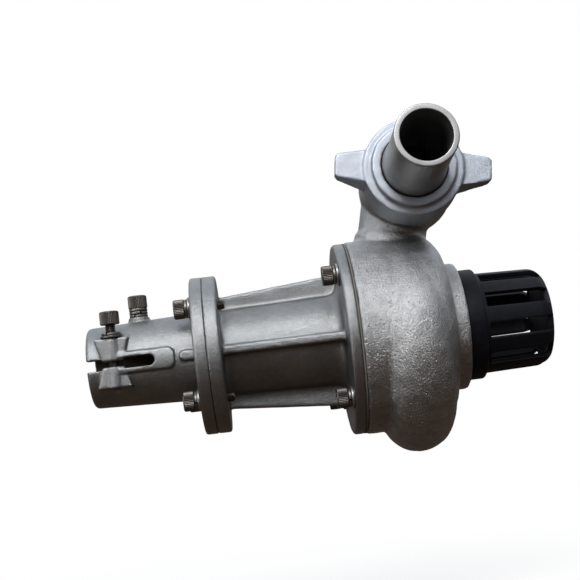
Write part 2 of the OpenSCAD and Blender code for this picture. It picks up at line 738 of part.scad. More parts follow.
module volute_casing() {
  color("lightgray") difference() {
    union() {
      turned(concat([[gasket_x, 0], [gasket_x, drum_r]],
        arc(front_x - shoulder_r, drum_r - shoulder_r, shoulder_r, 90, 0, 8),
        [[front_x, collar_d / 2]],
        arc(collar_x - collar_rim_r, collar_d / 2 - collar_rim_r, collar_rim_r, 90, 0, 4),
        [[collar_x, 0]]));
      scroll(scroll_r, scroll_r, 0);
      neck(neck_r, chamber_r, neck_base_r, neck_flare_len);
      at_outlet() elbow_ball();
      at_outlet() translate([0, 0, -hub_back_s - over])
        cylinder(h = hub_back_s + over - outlet_seat_back, d = outlet_thread_d);
    }
    turned([[gasket_x - over, 0], [gasket_x - over, chamber_r], [gasket_x + chamber_depth, chamber_r],
      [gasket_x + chamber_eye_depth, eye_d / 2], [gasket_x + chamber_eye_depth, 0]]);
    ring(gasket_x + chamber_eye_depth - over, collar_x, eye_d / 2);
    ring(collar_x - inlet_thread_depth, collar_x + over, inlet_thread_d / 2);
    scroll(scroll_bore_r, scroll_r - scroll_wall, scroll_wall);
    translate([neck_x, 0, chamber_r - over]) rotate([0, neck_lean, 0])
      cylinder(h = (outlet_z - chamber_r) / cos(neck_lean), r = neck_bore_r);
    at_outlet() translate([0, 0, -elbow_back]) sphere(r = elbow_r - elbow_wall, $fn = round_fn);
    at_outlet() translate([0, 0, -elbow_back]) cylinder(h = elbow_back, r = neck_bore_r);
    on_circle(gasket_x + casing_hole_depth, casing_bolt_circle)
      cylinder(h = casing_hole_depth + over, r = tap_r);
  }
}

module wing_nut() {
  tip_y = wing_tip_w / 2;
  root_y = wing_root_w / 2;
  color("gainsboro") at_outlet() difference() {
    union() {
      translate([0, 0, -nut_len]) cylinder(h = nut_len, d = nut_d);
      cylinder(h = nut_hub_h, d = nut_hub_d);
      for (s = [0, 180]) rotate([0, 0, s - wing_turn]) intersection() {
        translate([0, 0, -nut_len]) linear_extrude(height = nut_len - wing_set)
          polygon([[nut_thread_r + over, -root_y], [wing_tip_r - wing_corner, -tip_y],
            [wing_tip_r, wing_corner - tip_y], [wing_tip_r, tip_y - wing_corner],
            [wing_tip_r - wing_corner, tip_y], [nut_thread_r + over, root_y]]);
        translate([0, wing_root_w, 0]) rotate([90, 0, 0]) linear_extrude(height = 2 * wing_root_w)
          polygon([[0, 0], [wing_tip_r + over, 0], [wing_tip_r + over, -wing_set - wing_tip_t],
            [wing_tip_r, -wing_set - wing_tip_t], [nut_d / 2 - over, -wing_set - wing_root_t],
            [0, -wing_set - wing_root_t]]);
      }
    }
    translate([0, 0, -nut_len - over]) cylinder(h = nut_len, r = nut_thread_r);
    translate([0, 0, -nut_len]) cylinder(h = nut_len + nut_hub_h + over, r = nut_bore_r);
  }
}

module hose_tail() {
  seat = tail_gasket_t - outlet_seat_back;
  color("silver") at_outlet() difference() {
    union() {
      translate([0, 0, seat]) cylinder(h = tail_collar_t, d = tail_collar_d);
      translate([0, 0, seat]) cylinder(h = nut_hub_h + thread_gap - seat, d = tail_root_d);
      translate([0, 0, nut_hub_h + thread_gap]) cylinder(h = tail_len - tail_seat_len - nut_hub_h - thread_gap,
        d1 = tail_root_d, d2 = tail_tip_d);
      translate([0, 0, tail_len - tail_seat_len]) cylinder(h = tail_seat_len - tail_chamfer, d = tail_tip_d);
      translate([0, 0, tail_len - tail_chamfer]) cylinder(h = tail_chamfer, r1 = tail_tip_d / 2,
        r2 = tail_tip_d / 2 - tail_chamfer);
    }
    translate([0, 0, seat - over]) cylinder(h = tail_len - seat + 2 * over, d = tail_bore_d);
  }
}

module hose_tail_gasket() {
  color("black") at_outlet() difference() {
    translate([0, 0, -outlet_seat_back]) cylinder(h = tail_gasket_t, d = tail_gasket_d);
    translate([0, 0, -outlet_seat_back - over]) cylinder(h = tail_gasket_t + 2 * over, r = neck_bore_r);
  }
}

module strainer() {
  ring_end = collar_x + strainer_ring_t;
  corner_r = basket_end_d / 2 - basket_corner_r;
  in_r = basket_end_d / 2 - basket_wall;
  color([0.1, 0.1, 0.12]) difference() {
    turned(concat([[neck_end_x, 0], [neck_end_x, inlet_thread_d / 2 - thread_gap],
        [collar_x + thread_gap, inlet_thread_d / 2 - thread_gap],
        [collar_x + thread_gap, strainer_ring_d / 2], [ring_end - strainer_chamfer, strainer_ring_d / 2],
        [ring_end, strainer_ring_d / 2 - strainer_chamfer], [ring_end, basket_d / 2]],
      arc(basket_x - basket_corner_r, corner_r, basket_corner_r, 90, 0, 8), [[basket_x, 0]]));
    turned([[neck_end_x - over, 0], [neck_end_x - over, strainer_bore_d / 2],
      [collar_x + over, strainer_bore_d / 2], [ring_end, in_r],
      [basket_x - basket_corner_r, in_r], [basket_x - basket_wall, corner_r],
      [basket_x - basket_wall, 0]]);
    for (i = [0:slot_count - 1]) rotate([bar_turn + (i + 1 / 2) * 360 / slot_count, 0, 0]) {
      translate([ring_end + slot_start, -slot_w / 2, slot_end_r]) cube([basket_len, slot_w, basket_d]);
    }
  }
}

module inlet_gasket() {
  color("black") ring(collar_x - inlet_thread_depth, neck_end_x, inlet_thread_d / 2 - thread_gap,
    inlet_gasket_bore / 2);
}

module pump_shaft() {
  step_x = wet_x - shaft_step_back;
  color("lightsteelblue") difference() {
    union() {
      ring(shaft_start, step_x, shaft_r);
      ring(step_x - over, nose_x, wet_r);
      ring(nose_x - over, nose_x + shaft_thread_len, shaft_thread_d / 2);
    }
    ring(shaft_start - over, shaft_start + drive_bore_depth, drive_bore_d / 2);
    for (i = [0:spline_count - 1]) rotate([i * 360 / spline_count, 0, 0])
      translate([shaft_start - over, 0, drive_bore_d / 2]) rotate([0, 90, 0])
        cylinder(h = drive_bore_depth + over - spline_d, d = spline_d);
    ring(bore_snap_x, lead_bearing_x, shaft_r + over, shaft_r - snap_depth);
    ring(rear_bearing_x + bearing_w, rear_bearing_x + bearing_w + snap_t, shaft_r + over, shaft_r - snap_depth);
    translate([hub_x + key_inset, -key_w / 2, wet_r - key_w / 2]) cube([key_len, key_w, key_w]);
  }
}

module dust_seal() {
  color("black") ring(dust_seal_x, dust_seal_x + dust_seal_w, bearing_r, shaft_r + run_gap);
}

module bore_snap_ring() {
  r = bearing_r + snap_depth - fit_gap;
  color("gray") difference() {
    ring(bore_snap_x, lead_bearing_x, r, r - snap_band);
    translate([bore_snap_x - over, -snap_gap / 2, -bearing_d]) cube([snap_t + 2 * over, snap_gap, bearing_d]);
  }
}

module shaft_snap_rings() {
  r = shaft_r - snap_depth + fit_gap;
  color("gray") for (x = [bore_snap_x, rear_bearing_x + bearing_w]) difference() {
    ring(x, x + snap_t, r + snap_band, r);
    translate([x - over, -snap_gap / 2, 0]) cube([snap_t + 2 * over, snap_gap, bearing_d]);
  }
}

module bearing_outer_rings() {
  color("lightsteelblue") for (x = [lead_bearing_x, rear_bearing_x]) difference() {
    ring(x, x + bearing_w, bearing_r, race_outer_d / 2);
    translate([x + bearing_w / 2, 0, 0]) rotate([0, 90, 0]) rotate_extrude()
      translate([pitch_r, 0]) circle(r = groove_r);
  }
}

module bearing_inner_rings() {
  color("lightsteelblue") for (x = [lead_bearing_x, rear_bearing_x]) difference() {
    ring(x, x + bearing_w, race_inner_d / 2, shaft_r + fit_gap);
    translate([x + bearing_w / 2, 0, 0]) rotate([0, 90, 0]) rotate_extrude()
      translate([pitch_r, 0]) circle(r = groove_r);
  }
}

module bearing_balls() {
  color("gainsboro") for (x = [lead_bearing_x, rear_bearing_x]) for (i = [0:ball_count - 1])
    rotate([i * 360 / ball_count, 0, 0]) translate([x + bearing_w / 2, 0, pitch_r]) sphere(r = ball_r);
}

module bearing_cages() {
  color("goldenrod") for (x = [lead_bearing_x, rear_bearing_x]) difference() {
    ring(x + (bearing_w - cage_w) / 2, x + (bearing_w + cage_w) / 2, pitch_r + cage_t / 2, pitch_r - cage_t / 2);
    for (i = [0:ball_count - 1]) rotate([i * 360 / ball_count, 0, 0])
      translate([x + bearing_w / 2, 0, pitch_r]) sphere(r = ball_r + run_gap);
  }
}

module bearing_spacer() {
  color("gray") ring(lead_bearing_x + bearing_w, rear_bearing_x, spacer_d / 2, shaft_r + fit_gap);
}

module seal_seat() {
  color("ivory") ring(face_x - seat_len, face_x, seat_d / 2, wet_r + seat_gap);
}

module seal_seat_cup() {
  back = face_x - seat_len;
  color("black") union() {
    ring(seat_x, face_x - cup_back, seat_pocket_d / 2, seat_d / 2 + fit_gap);
    ring(seat_x, back - fit_gap, seat_d / 2 + cup_back, wet_r + seat_gap);
  }
}

module seal_face() {
  color([0.2, 0.2, 0.2]) ring(face_x + run_gap, face_x + face_len, face_d / 2, wet_r + fit_gap);
}

module seal_bellows() {
  color("black") ring(face_x + face_len + fit_gap, hub_x - fit_gap, bellows_d / 2, wet_r + fit_gap);
}

module seal_spring() {
  x0 = face_x + face_len + fit_gap + holder_t + seal_wire_d / 2 + fit_gap;
  x1 = hub_x - holder_t - seal_wire_d / 2 - 2 * fit_gap;
  steps = 20 * seal_turns;
  mid = (seal_spring_d - seal_wire_d) / 2;
  color("silver") skin([for (i = [0:steps]) let (p = i * 360 * seal_turns / steps)
    [for (j = [0:7]) let (a = -45 * j, r = mid + seal_wire_d / 2 * sin(a))
      [x0 + (x1 - x0) * i / steps + seal_wire_d / 2 * cos(a), -r * sin(p), r * cos(p)]]]);
}

module seal_spring_holders() {
  x0 = face_x + face_len + fit_gap;
  x1 = hub_x - fit_gap - holder_t;
  color("silver") for (x = [x0, x1]) ring(x, x + holder_t, holder_d / 2, bellows_d / 2 + fit_gap);
}

module impeller_key() {
  color("gray") translate([hub_x + key_inset + fit_gap, fit_gap - key_w / 2, wet_r - key_w / 2 + fit_gap])
    cube([key_len - 2 * fit_gap, key_w - 2 * fit_gap, key_w - 2 * fit_gap]);
}

module impeller() {
  face = plate_x + impeller_plate_t;
  color("lightgray") difference() {
    union() {
      ring(hub_x, nose_x, hub_d / 2);
      ring(plate_x, face, impeller_d / 2);
      translate([face - over, 0, 0]) rotate([0, 90, 0]) linear_extrude(height = vane_h + over)
        for (i = [0:vane_count - 1]) rotate([0, 0, i * 360 / vane_count]) intersection() {
          difference() {
            circle(d = impeller_d - 2 * vane_inset);
            circle(r = vane_start_r);
          }
          translate([vane_start_r + over, -vane_r]) difference() {
            circle(r = vane_r);
            circle(r = vane_r - vane_t);
            translate([-2 * vane_r, -vane_r]) square([2 * vane_r, 2 * vane_r]);
          }
        }
    }
    ring(hub_x - over, nose_x + over, wet_r + fit_gap);
    translate([hub_x - over, -key_w / 2, 0]) cube([key_len + key_inset + over + fit_gap, key_w, wet_r + key_w / 2]);
  }
}

module impeller_washer() {
  color("gainsboro") ring(nose_x, nose_x + washer_t, impeller_washer_d / 2, shaft_thread_d / 2 + hole_gap);
}

module impeller_nut() {
  x0 = nose_x + washer_t;
  color("gray") difference() {
    translate([x0, 0, 0]) rotate([0, 90, 0]) cylinder(h = impeller_nut_h, d = impeller_nut_d, $fn = 6);
    ring(x0 - over, x0 + impeller_nut_h + over, shaft_thread_d / 2 + fit_gap);
  }
}

tube_clamp();
clamp_screw();
clamp_spring_washer();
clamp_washer();
locating_screw();
locating_spring_washers();
flange_screws();
flange_spring_washers();
flange_washers();
bearing_bracket();
casing_screws();
casing_spring_washers();
casing_washers();
casing_gasket();
volute_casing();
wing_nut();
hose_tail();
hose_tail_gasket();
strainer();
inlet_gasket();
pump_shaft();
dust_seal();
bore_snap_ring();
shaft_snap_rings();
bearing_outer_rings();
bearing_inner_rings();
bearing_balls();
bearing_cages();
bearing_spacer();
seal_seat();
seal_seat_cup();
seal_face();
seal_bellows();
seal_spring();
seal_spring_holders();
impeller_key();
impeller();
impeller_washer();
impeller_nut();
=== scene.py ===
# %% [markdown]
# # A water pump head for a brush cutter
# The part clamps on a brush cutter in place of its cutting head and pumps water through
# a volute. This lesson dresses the packed CAD model: it sets up the camera and the
# light, writes the finishes as node materials, and builds the pieces that need more
# than the CAD mesh, such as knurled screws, cast housings with soft edges and a slotted
# strainer.
#
# Sizes are written in millimetres, and MM turns them into the metres of the frame.

# %% Load the frame
import math

import bmesh
import bpy
import numpy as np
from mathutils import Matrix, Vector


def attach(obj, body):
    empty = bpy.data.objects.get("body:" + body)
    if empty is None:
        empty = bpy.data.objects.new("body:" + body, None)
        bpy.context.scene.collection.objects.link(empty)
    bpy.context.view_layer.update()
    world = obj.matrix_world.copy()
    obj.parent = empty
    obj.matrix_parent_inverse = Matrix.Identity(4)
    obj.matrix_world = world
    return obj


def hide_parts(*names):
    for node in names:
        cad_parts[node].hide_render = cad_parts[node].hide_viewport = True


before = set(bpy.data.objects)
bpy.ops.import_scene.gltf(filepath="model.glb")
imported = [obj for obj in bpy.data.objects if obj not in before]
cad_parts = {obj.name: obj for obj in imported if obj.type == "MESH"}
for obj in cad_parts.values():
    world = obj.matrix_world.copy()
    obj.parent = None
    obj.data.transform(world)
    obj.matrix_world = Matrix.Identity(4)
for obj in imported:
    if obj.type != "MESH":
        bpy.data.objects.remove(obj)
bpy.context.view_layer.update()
MM = 0.001

# %% [markdown]
# ## The camera
# The view is a plain perspective one. Its place was worked out from the seams of the
# two flanges, whose real sizes are known, so the numbers are an azimuth, an elevation,
# a small roll and a distance. The camera's own axes are made from them as vectors,
# because a roll is hard to read in Euler angles.

# %% Camera from azimuth, elevation, roll and distance
AZIMUTH, ELEVATION, ROLL = (math.radians(a) for a in (-2.10, -6.36, 6.87))
TARGET = np.array([119.34, 0.0, 32.49]) * MM
DISTANCE = 661.68 * MM
LENS, SENSOR = 70.07, 36.0
NEAREST, FARTHEST = 0.01, 20.0


def camera_axes(azimuth, elevation, roll):
    """Right, up and back as columns: back points from the target to the camera, and
    the roll turns right and up about it."""
    back = np.array([math.sin(azimuth) * math.cos(elevation),
                     -math.cos(azimuth) * math.cos(elevation), math.sin(elevation)])
    right = np.array([math.cos(azimuth), math.sin(azimuth), 0.0])
    up = np.cross(back, right)
    turned_right = math.cos(roll) * right - math.sin(roll) * up
    turned_up = math.sin(roll) * right + math.cos(roll) * up
    return np.stack([turned_right, turned_up, back], axis=1)


camera = bpy.data.objects.new("camera", bpy.data.cameras.new("camera"))
bpy.context.scene.collection.objects.link(camera)
camera.data.lens, camera.data.sensor_width = LENS, SENSOR
camera.data.clip_start, camera.data.clip_end = NEAREST, FARTHEST
pose = np.eye(4)
pose[:3, :3] = camera_axes(AZIMUTH, ELEVATION, ROLL)
pose[:3, 3] = TARGET + DISTANCE * pose[:3, 2]
camera.matrix_world = Matrix(pose.tolist())
bpy.context.scene.camera = camera
bpy.context.scene.view_settings.view_transform = "Standard"
print("camera at, in mm:", (pose[:3, 3] / MM).round(1))

# %% [markdown]
# ## Shader maths as Python sums
# A node tree is easier to read as a sum than as a picture of boxes. The class below
# wraps an output socket, so that `grain * 2 + 1` adds the Math nodes by itself. The
# same sum could be clicked together in the editor, but then nobody could read it here.

# %% A wire that can be added and multiplied


class Wire:
    """An output socket in sums: each operator adds one Math node to the same tree."""

    def __init__(self, tree, socket):
        self.tree, self.socket = tree, socket

    def math(self, operation, first, second=None):
        """One Math node whose inputs are wires, which are linked, or plain numbers."""
        node = self.tree.nodes.new("ShaderNodeMath")
        node.operation = operation
        for slot, value in zip(node.inputs, (first, second)):
            if isinstance(value, Wire):
                self.tree.links.new(value.socket, slot)
            elif value is not None:
                slot.default_value = value
        return Wire(self.tree, node.outputs[0])

    def __add__(self, other):
        return self.math("ADD", self, other)

    def __sub__(self, other):
        return self.math("SUBTRACT", self, other)

    def __rsub__(self, other):
        return self.math("SUBTRACT", other, self)

    def __mul__(self, other):
        return self.math("MULTIPLY", self, other)

    def __truediv__(self, other):
        return self.math("DIVIDE", self, other)

    def __pow__(self, other):
        return self.math("POWER", self, other)

    __radd__, __rmul__ = __add__, __mul__

    def clamped(self):
        """Kept between 0 and 1."""
        return self.math("MINIMUM", self.math("MAXIMUM", self, 0.0), 1.0)

    def step(self, start, end):
        """0 below start, 1 above end and straight in between, also with start above end."""
        return ((self - start) / (end - start)).clamped()


print("a wire can do:", [name for name in vars(Wire) if not name.startswith("_")])

# %% [markdown]
# All other nodes come from one method, which sets the node's own settings first and
# then its sockets, from numbers or from wires. A few textures that every finish needs
# are short methods on top of it.

# %% A sheet of nodes


class NodeSheet:
    """A node tree that is written as expressions."""

    def __init__(self, tree):
        self.tree = tree
        tree.nodes.clear()

    def node(self, kind, settings=(), sockets=(), out=0):
        """Adds a node, sets its settings, then fills its sockets, and returns one output."""
        node = self.tree.nodes.new(kind)
        for key, value in dict(settings).items():
            setattr(node, key, value)
        for key, value in dict(sockets).items():
            if isinstance(value, Wire):
                self.tree.links.new(value.socket, node.inputs[key])
            elif isinstance(value, tuple) and len(value) == 3 and node.inputs[key].type == "RGBA":
                node.inputs[key].default_value = (*value, 1.0)
            else:
                node.inputs[key].default_value = value
        return Wire(self.tree, node.outputs[out])

    def mix(self, factor, first, second):
        """The first colour where factor is 0 and the second where it is 1."""
        return self.node("ShaderNodeMix", {"data_type": "RGBA"},
                         {0: factor, 6: first, 7: second}, out=2)

    def noise(self, where, scale, detail=2.0, rough=0.5):
        """Cloudy noise from 0 to 1, with features about 1 / scale metres wide."""
        return self.node("ShaderNodeTexNoise", {},
                         {"Vector": where, "Scale": scale, "Detail": detail, "Roughness": rough})

    def cells(self, where, scale):
        """Distance to the nearest of many scattered points, 0 at each point."""
        return self.node("ShaderNodeTexVoronoi", {}, {"Vector": where, "Scale": scale})

    def split(self, where):
        """The three coordinates as separate wires."""
        parts = self.node("ShaderNodeSeparateXYZ", {}, {0: where})
        outputs = parts.socket.node.outputs
        return [Wire(self.tree, outputs[i]) for i in range(3)]


print("a sheet can make:", [name for name in vars(NodeSheet) if not name.startswith("_")])

# %% [markdown]
# A finish is a sheet with one shader. Colour, roughness and the bump of the surface
# vary from place to place, so they are wires. What stays the same all over, such as
# how metallic the skin is, is a plain number on the shader's own socket.

# %% A finish with its shader


class Finish(NodeSheet):
    """A material with one Principled BSDF. Constants sit on its own sockets."""

    def __init__(self, name, **constants):
        self.material = bpy.data.materials.new(name)
        self.material.use_nodes = True
        super().__init__(self.material.node_tree)
        self.shader = self.tree.nodes.new("ShaderNodeBsdfPrincipled")
        output = self.tree.nodes.new("ShaderNodeOutputMaterial")
        self.tree.links.new(self.shader.outputs[0], output.inputs["Surface"])
        self.place = self.node("ShaderNodeTexCoord", out="Object")
        for key, value in constants.items():
            self.shader.inputs[key.replace("_", " ")].default_value = value

    def feed(self, **wires):
        """Links wires to the shader's sockets, such as Base_Color or Roughness."""
        for key, wire in wires.items():
            self.tree.links.new(wire.socket, self.shader.inputs[key.replace("_", " ")])

    def relief(self, height, depth):
        """A bump of the given height wire, whose full swing is depth metres."""
        bump = self.node("ShaderNodeBump", {},
                         {"Height": height, "Distance": depth, "Strength": 1.0})
        self.feed(Normal=bump)

    def hollows(self, reach):
        """1 deep in corners and creases, 0 on open faces, seen within reach metres."""
        open_share = self.node("ShaderNodeAmbientOcclusion", {"samples": 8},
                               {"Distance": reach}, out="AO")
        return 1.0 - open_share


print("a finish adds:", [name for name in vars(Finish) if not name.startswith("_")])

# %% [markdown]
# ## Light, backdrop and floor
# The pump stands in the light of an open, overcast sky: bright and a little blue from
# above, brownish and dark from below. Metal shows what is round it, so most of the
# look of bare aluminium comes from this gradient, and a picture of a real sky would
# only add detail that a rough casting can't show. The camera itself sees plain white.

# %% World
SKY, HORIZON, GROUND = (1.08, 1.14, 1.22), (0.33, 0.33, 0.335), (0.042, 0.025, 0.014)


def studio_world():
    """Colour by the height of the direction: ground below, horizon, then sky above."""
    world = bpy.data.worlds.new("studio")
    world.use_nodes = True
    bpy.context.scene.world = world
    sheet = NodeSheet(world.node_tree)
    height = sheet.split(sheet.node("ShaderNodeTexCoord", out="Generated"))[2]
    lower = sheet.mix(height.step(-0.02, 0.20), GROUND, HORIZON)
    whole = sheet.mix(height.step(0.20, 0.65), lower, SKY)
    light = sheet.node("ShaderNodeBackground", {}, {"Color": whole, "Strength": 1.0})
    white = sheet.node("ShaderNodeBackground", {}, {"Color": (1.0, 1.0, 1.0), "Strength": 1.0})
    seen = sheet.node("ShaderNodeLightPath", out="Is Camera Ray")
    both = sheet.node("ShaderNodeMixShader", {}, {0: seen, 1: light, 2: white})
    output = world.node_tree.nodes.new("ShaderNodeOutputWorld")
    world.node_tree.links.new(both.socket, output.inputs["Surface"])
    return world


sky_world = studio_world()
print("the world", sky_world.name, "has", len(sky_world.node_tree.nodes), "nodes")

# %% [markdown]
# Two square lamps in front add what the sky alone doesn't give: a soft highlight along
# the top of each round part, and a weaker one from the clamp's end. They are large and
# far enough away to leave no hard shadow.

# %% Two soft lamps
PUMP_MIDDLE = (0.15, 0.0, 0.03)


def soft_light(name, place, aim, size, power):
    """A square lamp at place that faces aim."""
    lamp = bpy.data.objects.new(name, bpy.data.lights.new(name, "AREA"))
    lamp.data.size, lamp.data.energy = size, power
    lamp.location = place
    direction = Vector(aim) - Vector(place)
    lamp.rotation_euler = direction.to_track_quat("-Z", "Y").to_euler()
    bpy.context.scene.collection.objects.link(lamp)
    return lamp


key_lamp = soft_light("key", (0.02, -0.85, 0.72), PUMP_MIDDLE, size=0.35, power=8.0)
side_lamp = soft_light("side", (-0.75, -0.60, 0.25), PUMP_MIDDLE, size=0.40, power=3.5)
print("lamps in watts:", key_lamp.data.energy, side_lamp.data.energy)

# %% [markdown]
# A floor lies under the pump. To the camera it is pale and melts into the backdrop. To
# the rays that bounce off the metal it is dark brown earth, which is what turns the
# undersides of the castings dark and warm. The Light Path node tells the two apart.

# %% Floor
FLOOR_SIDES = 64


def pale_floor(height, reach):
    """A wide disc that is dark to the metal's reflections and pale to the camera, and
    whose edge fades to the white of the backdrop."""
    sheet = Finish("floor_paint", Roughness=0.9)
    seen = sheet.node("ShaderNodeLightPath", out="Is Camera Ray")
    sheet.feed(Base_Color=sheet.mix(seen, (0.050, 0.028, 0.015), (0.80, 0.78, 0.76)))
    x, y, _ = sheet.split(sheet.place)
    far = ((x * x + y * y) ** 0.5).step(0.14, 0.50)
    white = sheet.node("ShaderNodeEmission", {}, {"Color": (1.0, 1.0, 1.0), "Strength": 1.0})
    paint = Wire(sheet.tree, sheet.shader.outputs[0])
    both = sheet.node("ShaderNodeMixShader", {}, {0: seen * (far * 0.5 + 0.5), 1: paint, 2: white})
    sheet.tree.links.new(both.socket, sheet.tree.nodes["Material Output"].inputs["Surface"])
    angles = np.linspace(0, 2 * np.pi, FLOOR_SIDES, endpoint=False)
    rim = np.stack([reach * np.cos(angles), reach * np.sin(angles),
                    np.full(FLOOR_SIDES, height)], 1)
    mesh = bpy.data.meshes.new("floor")
    mesh.from_pydata(rim.tolist(), [], [list(range(FLOOR_SIDES))])
    floor = bpy.data.objects.new("floor", mesh)
    mesh.materials.append(sheet.material)
    bpy.context.scene.collection.objects.link(floor)
    return floor


pump_floor = pale_floor(height=-0.165, reach=3.0)
print("floor height in mm:", round(pump_floor.data.vertices[0].co.z / MM, 1))

# %% [markdown]
# ## Finishes
# The housings are sand cast: a grey skin with fine grain, pits and blotches, and painted
# shade in the corners. A photograph of metal could be wrapped round them, but it would
# stretch and repeat, so the skin is worked out from noise at every point. The recipe is
# one function with a few sizes, because the clamp, the bracket, the volute and the wing
# nut differ only in how coarse and how clean they are.

# %% Cast aluminium


def cast_aluminium(name, light, dark, grain, pits, depth, rough, pitting=0.12,
                   shade_colour=(0.035, 0.028, 0.022), shade_strength=0.75, bore=None):
    """Noise at three sizes mixes two greys, and hollows are darkened with the shade colour:
    painted shade. Voronoi points make pits, darkened with the same colour, only where a
    wide noise is high, and pitting says how strong they are. The same noises raise the
    surface. A bore of (radius, length) along X is darkened inside with painted shade, as
    if a tube lay in it."""
    f = Finish(name, Metallic=1.0)
    cloud = f.noise(f.place, 55.0, 3.0)
    mottle = f.noise(f.place, grain * 0.28, 2.0)
    fine = f.noise(f.place, grain, 5.0, 0.70)
    pitted_area = f.noise(f.place, 110.0).step(0.40, 0.62)
    hole = f.cells(f.place, pits).step(0.30, 0.08) * pitted_area * pitting
    tone = (cloud * 0.45 + mottle * 0.35 + fine * 0.45 - 0.12).clamped()
    colour = f.mix(tone, dark, light)
    colour = f.mix(hole * 0.8, colour, shade_colour)
    # Painted shade: corners and creases are darkened by how closed in they are.
    colour = f.mix((f.hollows(0.006) ** 1.6 * shade_strength).clamped(), colour, shade_colour)
    # Painted shade: the inside of the bore is darkened as if the drive tube lay in it.
    if bore:
        radius, length = bore
        x, y, z = f.split(f.place)
        inside = ((y * y + z * z) ** 0.5).step(radius * 1.02, radius)
        colour = f.mix(inside * x.step(length * 1.02, length), colour, shade_colour)
    f.feed(Base_Color=colour, Roughness=(rough + fine * 0.16 + hole * 0.2).clamped())
    f.relief(fine * 0.75 + mottle * 0.25 - hole * 0.8, depth)
    return f.material


volute_skin = cast_aluminium("volute_skin", (0.66, 0.665, 0.67), (0.060, 0.057, 0.054),
                             grain=900.0, pits=440.0, depth=0.00085, rough=0.25, pitting=0.45)
# The bracket's finish paints shade inside the clamp's bore.
bracket_skin = cast_aluminium("bracket_skin", (0.36, 0.37, 0.375), (0.115, 0.116, 0.115),
                              grain=1200.0, pits=700.0, depth=0.00045, rough=0.29,
                              bore=(0.0141, 0.0425))
nut_skin = cast_aluminium("nut_skin", (0.47, 0.50, 0.55), (0.28, 0.30, 0.335),
                          grain=1500.0, pits=520.0, depth=0.0002, rough=0.46)
impeller_skin = cast_aluminium("impeller_skin", (0.55, 0.55, 0.55), (0.35, 0.35, 0.34),
                               grain=1200.0, pits=520.0, depth=0.0002, rough=0.4)
print("cast finishes:", volute_skin.name, bracket_skin.name, nut_skin.name, impeller_skin.name)

# %% [markdown]
# Turned and ground metal shows fine rings round its axis. The rings are noise that
# reads only the coordinate along the axis, which a Mapping node picks out by turning
# the pattern to the axis and squeezing the other two directions to almost nothing. Real
# grooves that fine would take millions of faces, so they are a bump.

# %% Turned metal, plated and blackened steel


def turned_metal(name, light, dark, rough, axis_turn=(0.0, 0.0, 0.0), rings=2600.0,
                 shade_colour=(0.04, 0.032, 0.025), shade_strength=0.8):
    """Rings along the local Z of the turned pattern, with faint stains and painted shade in the
    hollows.
    """
    f = Finish(name, Metallic=1.0)
    along = f.node("ShaderNodeMapping", {}, {"Vector": f.place, "Rotation": axis_turn})
    along = f.node("ShaderNodeMapping", {}, {"Vector": along, "Scale": (0.02, 0.02, 1.0)})
    ring = f.noise(along, rings, 3.0)
    stain = f.noise(f.place, 90.0, 3.0)
    speck = f.noise(f.place, 1400.0, 2.0)
    tone = (ring * 0.4 + stain * 0.6 + speck * 0.2 - 0.1).clamped()
    colour = f.mix(tone, dark, light)
    # Painted shade: corners and creases are darkened by how closed in they are.
    colour = f.mix((f.hollows(0.004) ** 1.4 * shade_strength).clamped(), colour, shade_colour)
    f.feed(Base_Color=colour, Roughness=(rough + ring * 0.12 + stain * 0.08).clamped())
    f.relief(ring * 0.7 + speck * 0.3, 0.00004)
    return f.material


ALONG_X = (0.0, math.radians(-90.0), 0.0)
OUTLET_TILT = math.radians(4.5)
ALONG_OUTLET = (math.radians(-90.0) + OUTLET_TILT, 0.0, 0.0)
tail_metal = turned_metal("tail_metal", (0.43, 0.43, 0.43), (0.21, 0.205, 0.20), 0.32,
                          ALONG_OUTLET)
shaft_metal = turned_metal("shaft_metal", (0.62, 0.63, 0.64), (0.42, 0.42, 0.42), 0.22, ALONG_X)
ring_metal = turned_metal("ring_metal", (0.70, 0.71, 0.72), (0.55, 0.55, 0.56), 0.12, ALONG_X)
zinc = turned_metal("zinc", (0.40, 0.39, 0.38), (0.20, 0.19, 0.18), 0.32)
spring_steel = turned_metal("spring_steel", (0.24, 0.225, 0.21), (0.085, 0.08, 0.07), 0.34)
black_steel = turned_metal("black_steel", (0.17, 0.155, 0.145), (0.050, 0.044, 0.040), 0.34)
cage_brass = turned_metal("cage_brass", (0.72, 0.52, 0.25), (0.52, 0.36, 0.16), 0.30, ALONG_X)
print("turned finishes:", tail_metal.name, shaft_metal.name, zinc.name, black_steel.name)

# %% [markdown]
# The strainer is moulded in a blue-black plastic with hardly any sheen. The gaskets and
# bellows are matte rubber with a bloom of dust, the casing gasket is a fibre board, and
# the seal faces are a fired ceramic and a carbon. None of them shows a pattern from a
# step away, so two near colours and a fine grain are enough for all.

# %% Plastic, rubber, ceramic and carbon


def dull_mass(name, light, dark, rough, grain=900.0, depth=0.00004, dust=0.0, shine=0.5):
    """Two near colours mixed by noise, a fine moulded grain and a little dust."""
    f = Finish(name, Specular_IOR_Level=shine)
    cloud = f.noise(f.place, 70.0, 3.0)
    fine = f.noise(f.place, grain, 3.0)
    colour = f.mix((cloud * 0.7 + fine * 0.3).clamped(), dark, light)
    if dust:
        bloom = f.noise(f.place, 220.0, 4.0).step(0.50, 0.85) * dust
        colour = f.mix(bloom, colour, (0.20, 0.18, 0.16))
    f.feed(Base_Color=colour, Roughness=(rough + fine * 0.15 + cloud * 0.10).clamped())
    f.relief(fine * 0.6 + cloud * 0.4, depth)
    return f.material


